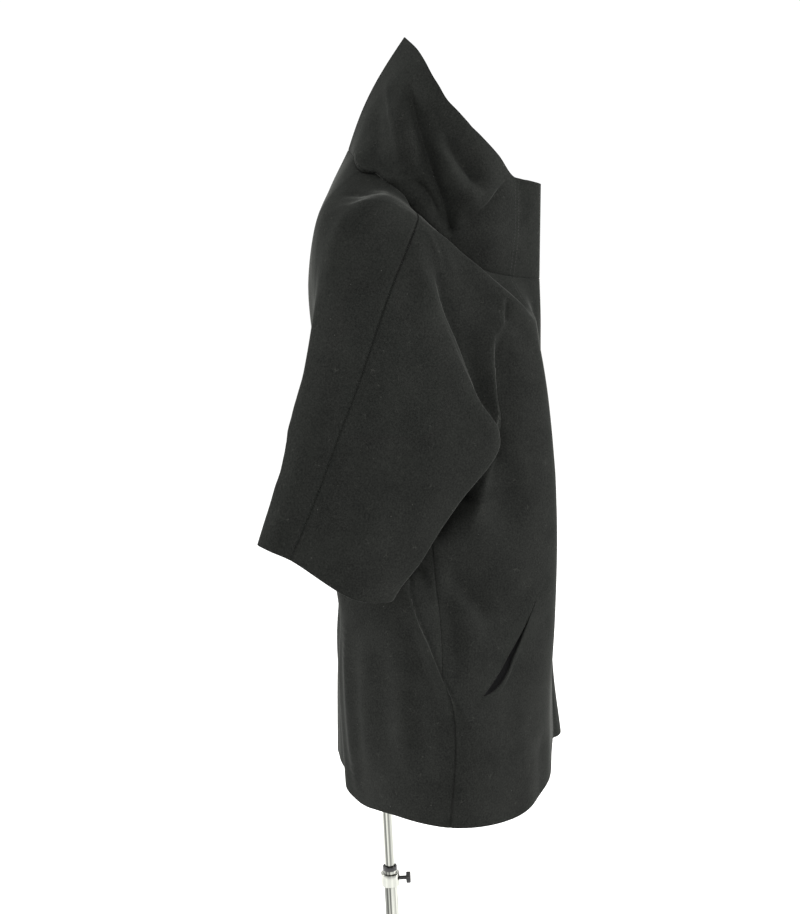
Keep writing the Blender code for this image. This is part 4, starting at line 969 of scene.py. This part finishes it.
def stitches(line, facing):
    """Small ellipsoids laid end to end along a line on the cloth, one for each stitch."""
    run = np.concatenate([[0], np.cumsum(np.linalg.norm(np.diff(line, axis=0), axis=1))])
    middle = np.arange(STITCH_PITCH, run[-1] - STITCH_PITCH, STITCH_PITCH)
    place, outward, ahead = (
        np.stack([np.interp(middle, run, values[:, k]) for k in range(3)], axis=1)
        for values in (line, facing, np.gradient(line, run, axis=0))
    )
    ahead = unit(ahead)
    aside = np.cross(outward, ahead)
    long_turn, turn = np.meshgrid(np.linspace(0, math.pi, STITCH_SIDES),
                                  np.arange(STITCH_SIDES) * 2 * math.pi / STITCH_SIDES, indexing="ij")
    round_share = np.sin(long_turn)
    shape = np.stack([np.cos(long_turn), round_share * np.cos(turn), round_share * np.sin(turn)], axis=-1)
    shape = shape.reshape(-1, 3) * np.array(STITCH_SIZE) / 2
    basis = np.stack([ahead, aside, outward], axis=1)
    points = place[:, None] + np.einsum("pk,skj->spj", shape, basis)
    ring = np.arange(len(shape)).reshape(STITCH_SIDES, STITCH_SIDES)
    quads = grid_quads(np.hstack([ring, ring[:, :1]]))
    every = (np.arange(len(place)) * len(shape))[:, None, None] + quads[None]
    return points.reshape(-1, 3), every.reshape(-1, 4)


thread = sewing_thread()
for side in halves:
    for number, distance in enumerate(STITCH_ROWS):
        points, quads = place_half(*stitches(*edge_line(side, distance)), side == "left")
        make_piece(f"front_{side}_stitches_{number}", points, quads, thread, "figure", "wool", None)

# Backs: the same wool, each cut with the back half of its sleeve in one piece, sewn to the front along
# the top of the arm and down the side, and to each other down the middle.
for side in halves:
    sew_piece("back", side)

# Collar: two halves of the same wool, standing high from the neck seam and rising to a point at the
# back, soft enough to fall into folds at the sides.
for side in halves:
    sew_piece("collar", side)

# Floor and light: a pale floor that runs out of sight, a white surround, and broad soft lamps.
FLOOR_REACH = 30
FLOOR_MOTTLE = 1000 / 3
WORLD_STRENGTH = 1.05
floor_mesh = bpy.data.meshes.new("floor")
corners = [(x * FLOOR_REACH, y * FLOOR_REACH, 0) for x, y in ((-1, -1), (1, -1), (1, 1), (-1, 1))]
floor_mesh.from_pydata(corners, [], [(0, 1, 2, 3)])
floor = bpy.data.objects.new("floor", floor_mesh)
bpy.context.scene.collection.objects.link(floor)
finish, shader, place = start_finish("matt white board", Roughness=0.9)
mottle = add_noise(place, FLOOR_MOTTLE)
feed(shader, Base_Color=mix_tones(mottle, "#FAFAF9", "#FDFDFC"))
floor_mesh.materials.append(finish)

world = bpy.data.worlds.new("white surround")
world.use_nodes = True
world.node_tree.nodes["Background"].inputs["Color"].default_value = (1, 1, 1, 1)
world.node_tree.nodes["Background"].inputs["Strength"].default_value = WORLD_STRENGTH
bpy.context.scene.world = world
bpy.context.scene.view_settings.view_transform = "Standard"
LAMP_COLUMNS = ("name", "place", "size", "watts")
LAMPS = (
    ("key lamp", (-2.6, -0.6, 3.0), 1.6, 50),
    ("back lamp", (0.3, 3.2, 2.0), 2.0, 150),
    ("front lamp", (0.3, -3.2, 2.0), 2.0, 150),
)
LAMP_AIM = Vector((0, -0.08, 1.0))
for row in LAMPS:
    lamp = dict(zip(LAMP_COLUMNS, row))
    light = bpy.data.lights.new(lamp["name"], "AREA")
    light.size = lamp["size"]
    light.energy = lamp["watts"]
    thing = bpy.data.objects.new(lamp["name"], light)
    thing.location = lamp["place"]
    thing.rotation_euler = (LAMP_AIM - thing.location).to_track_quat("-Z", "Y").to_euler()
    bpy.context.scene.collection.objects.link(thing)
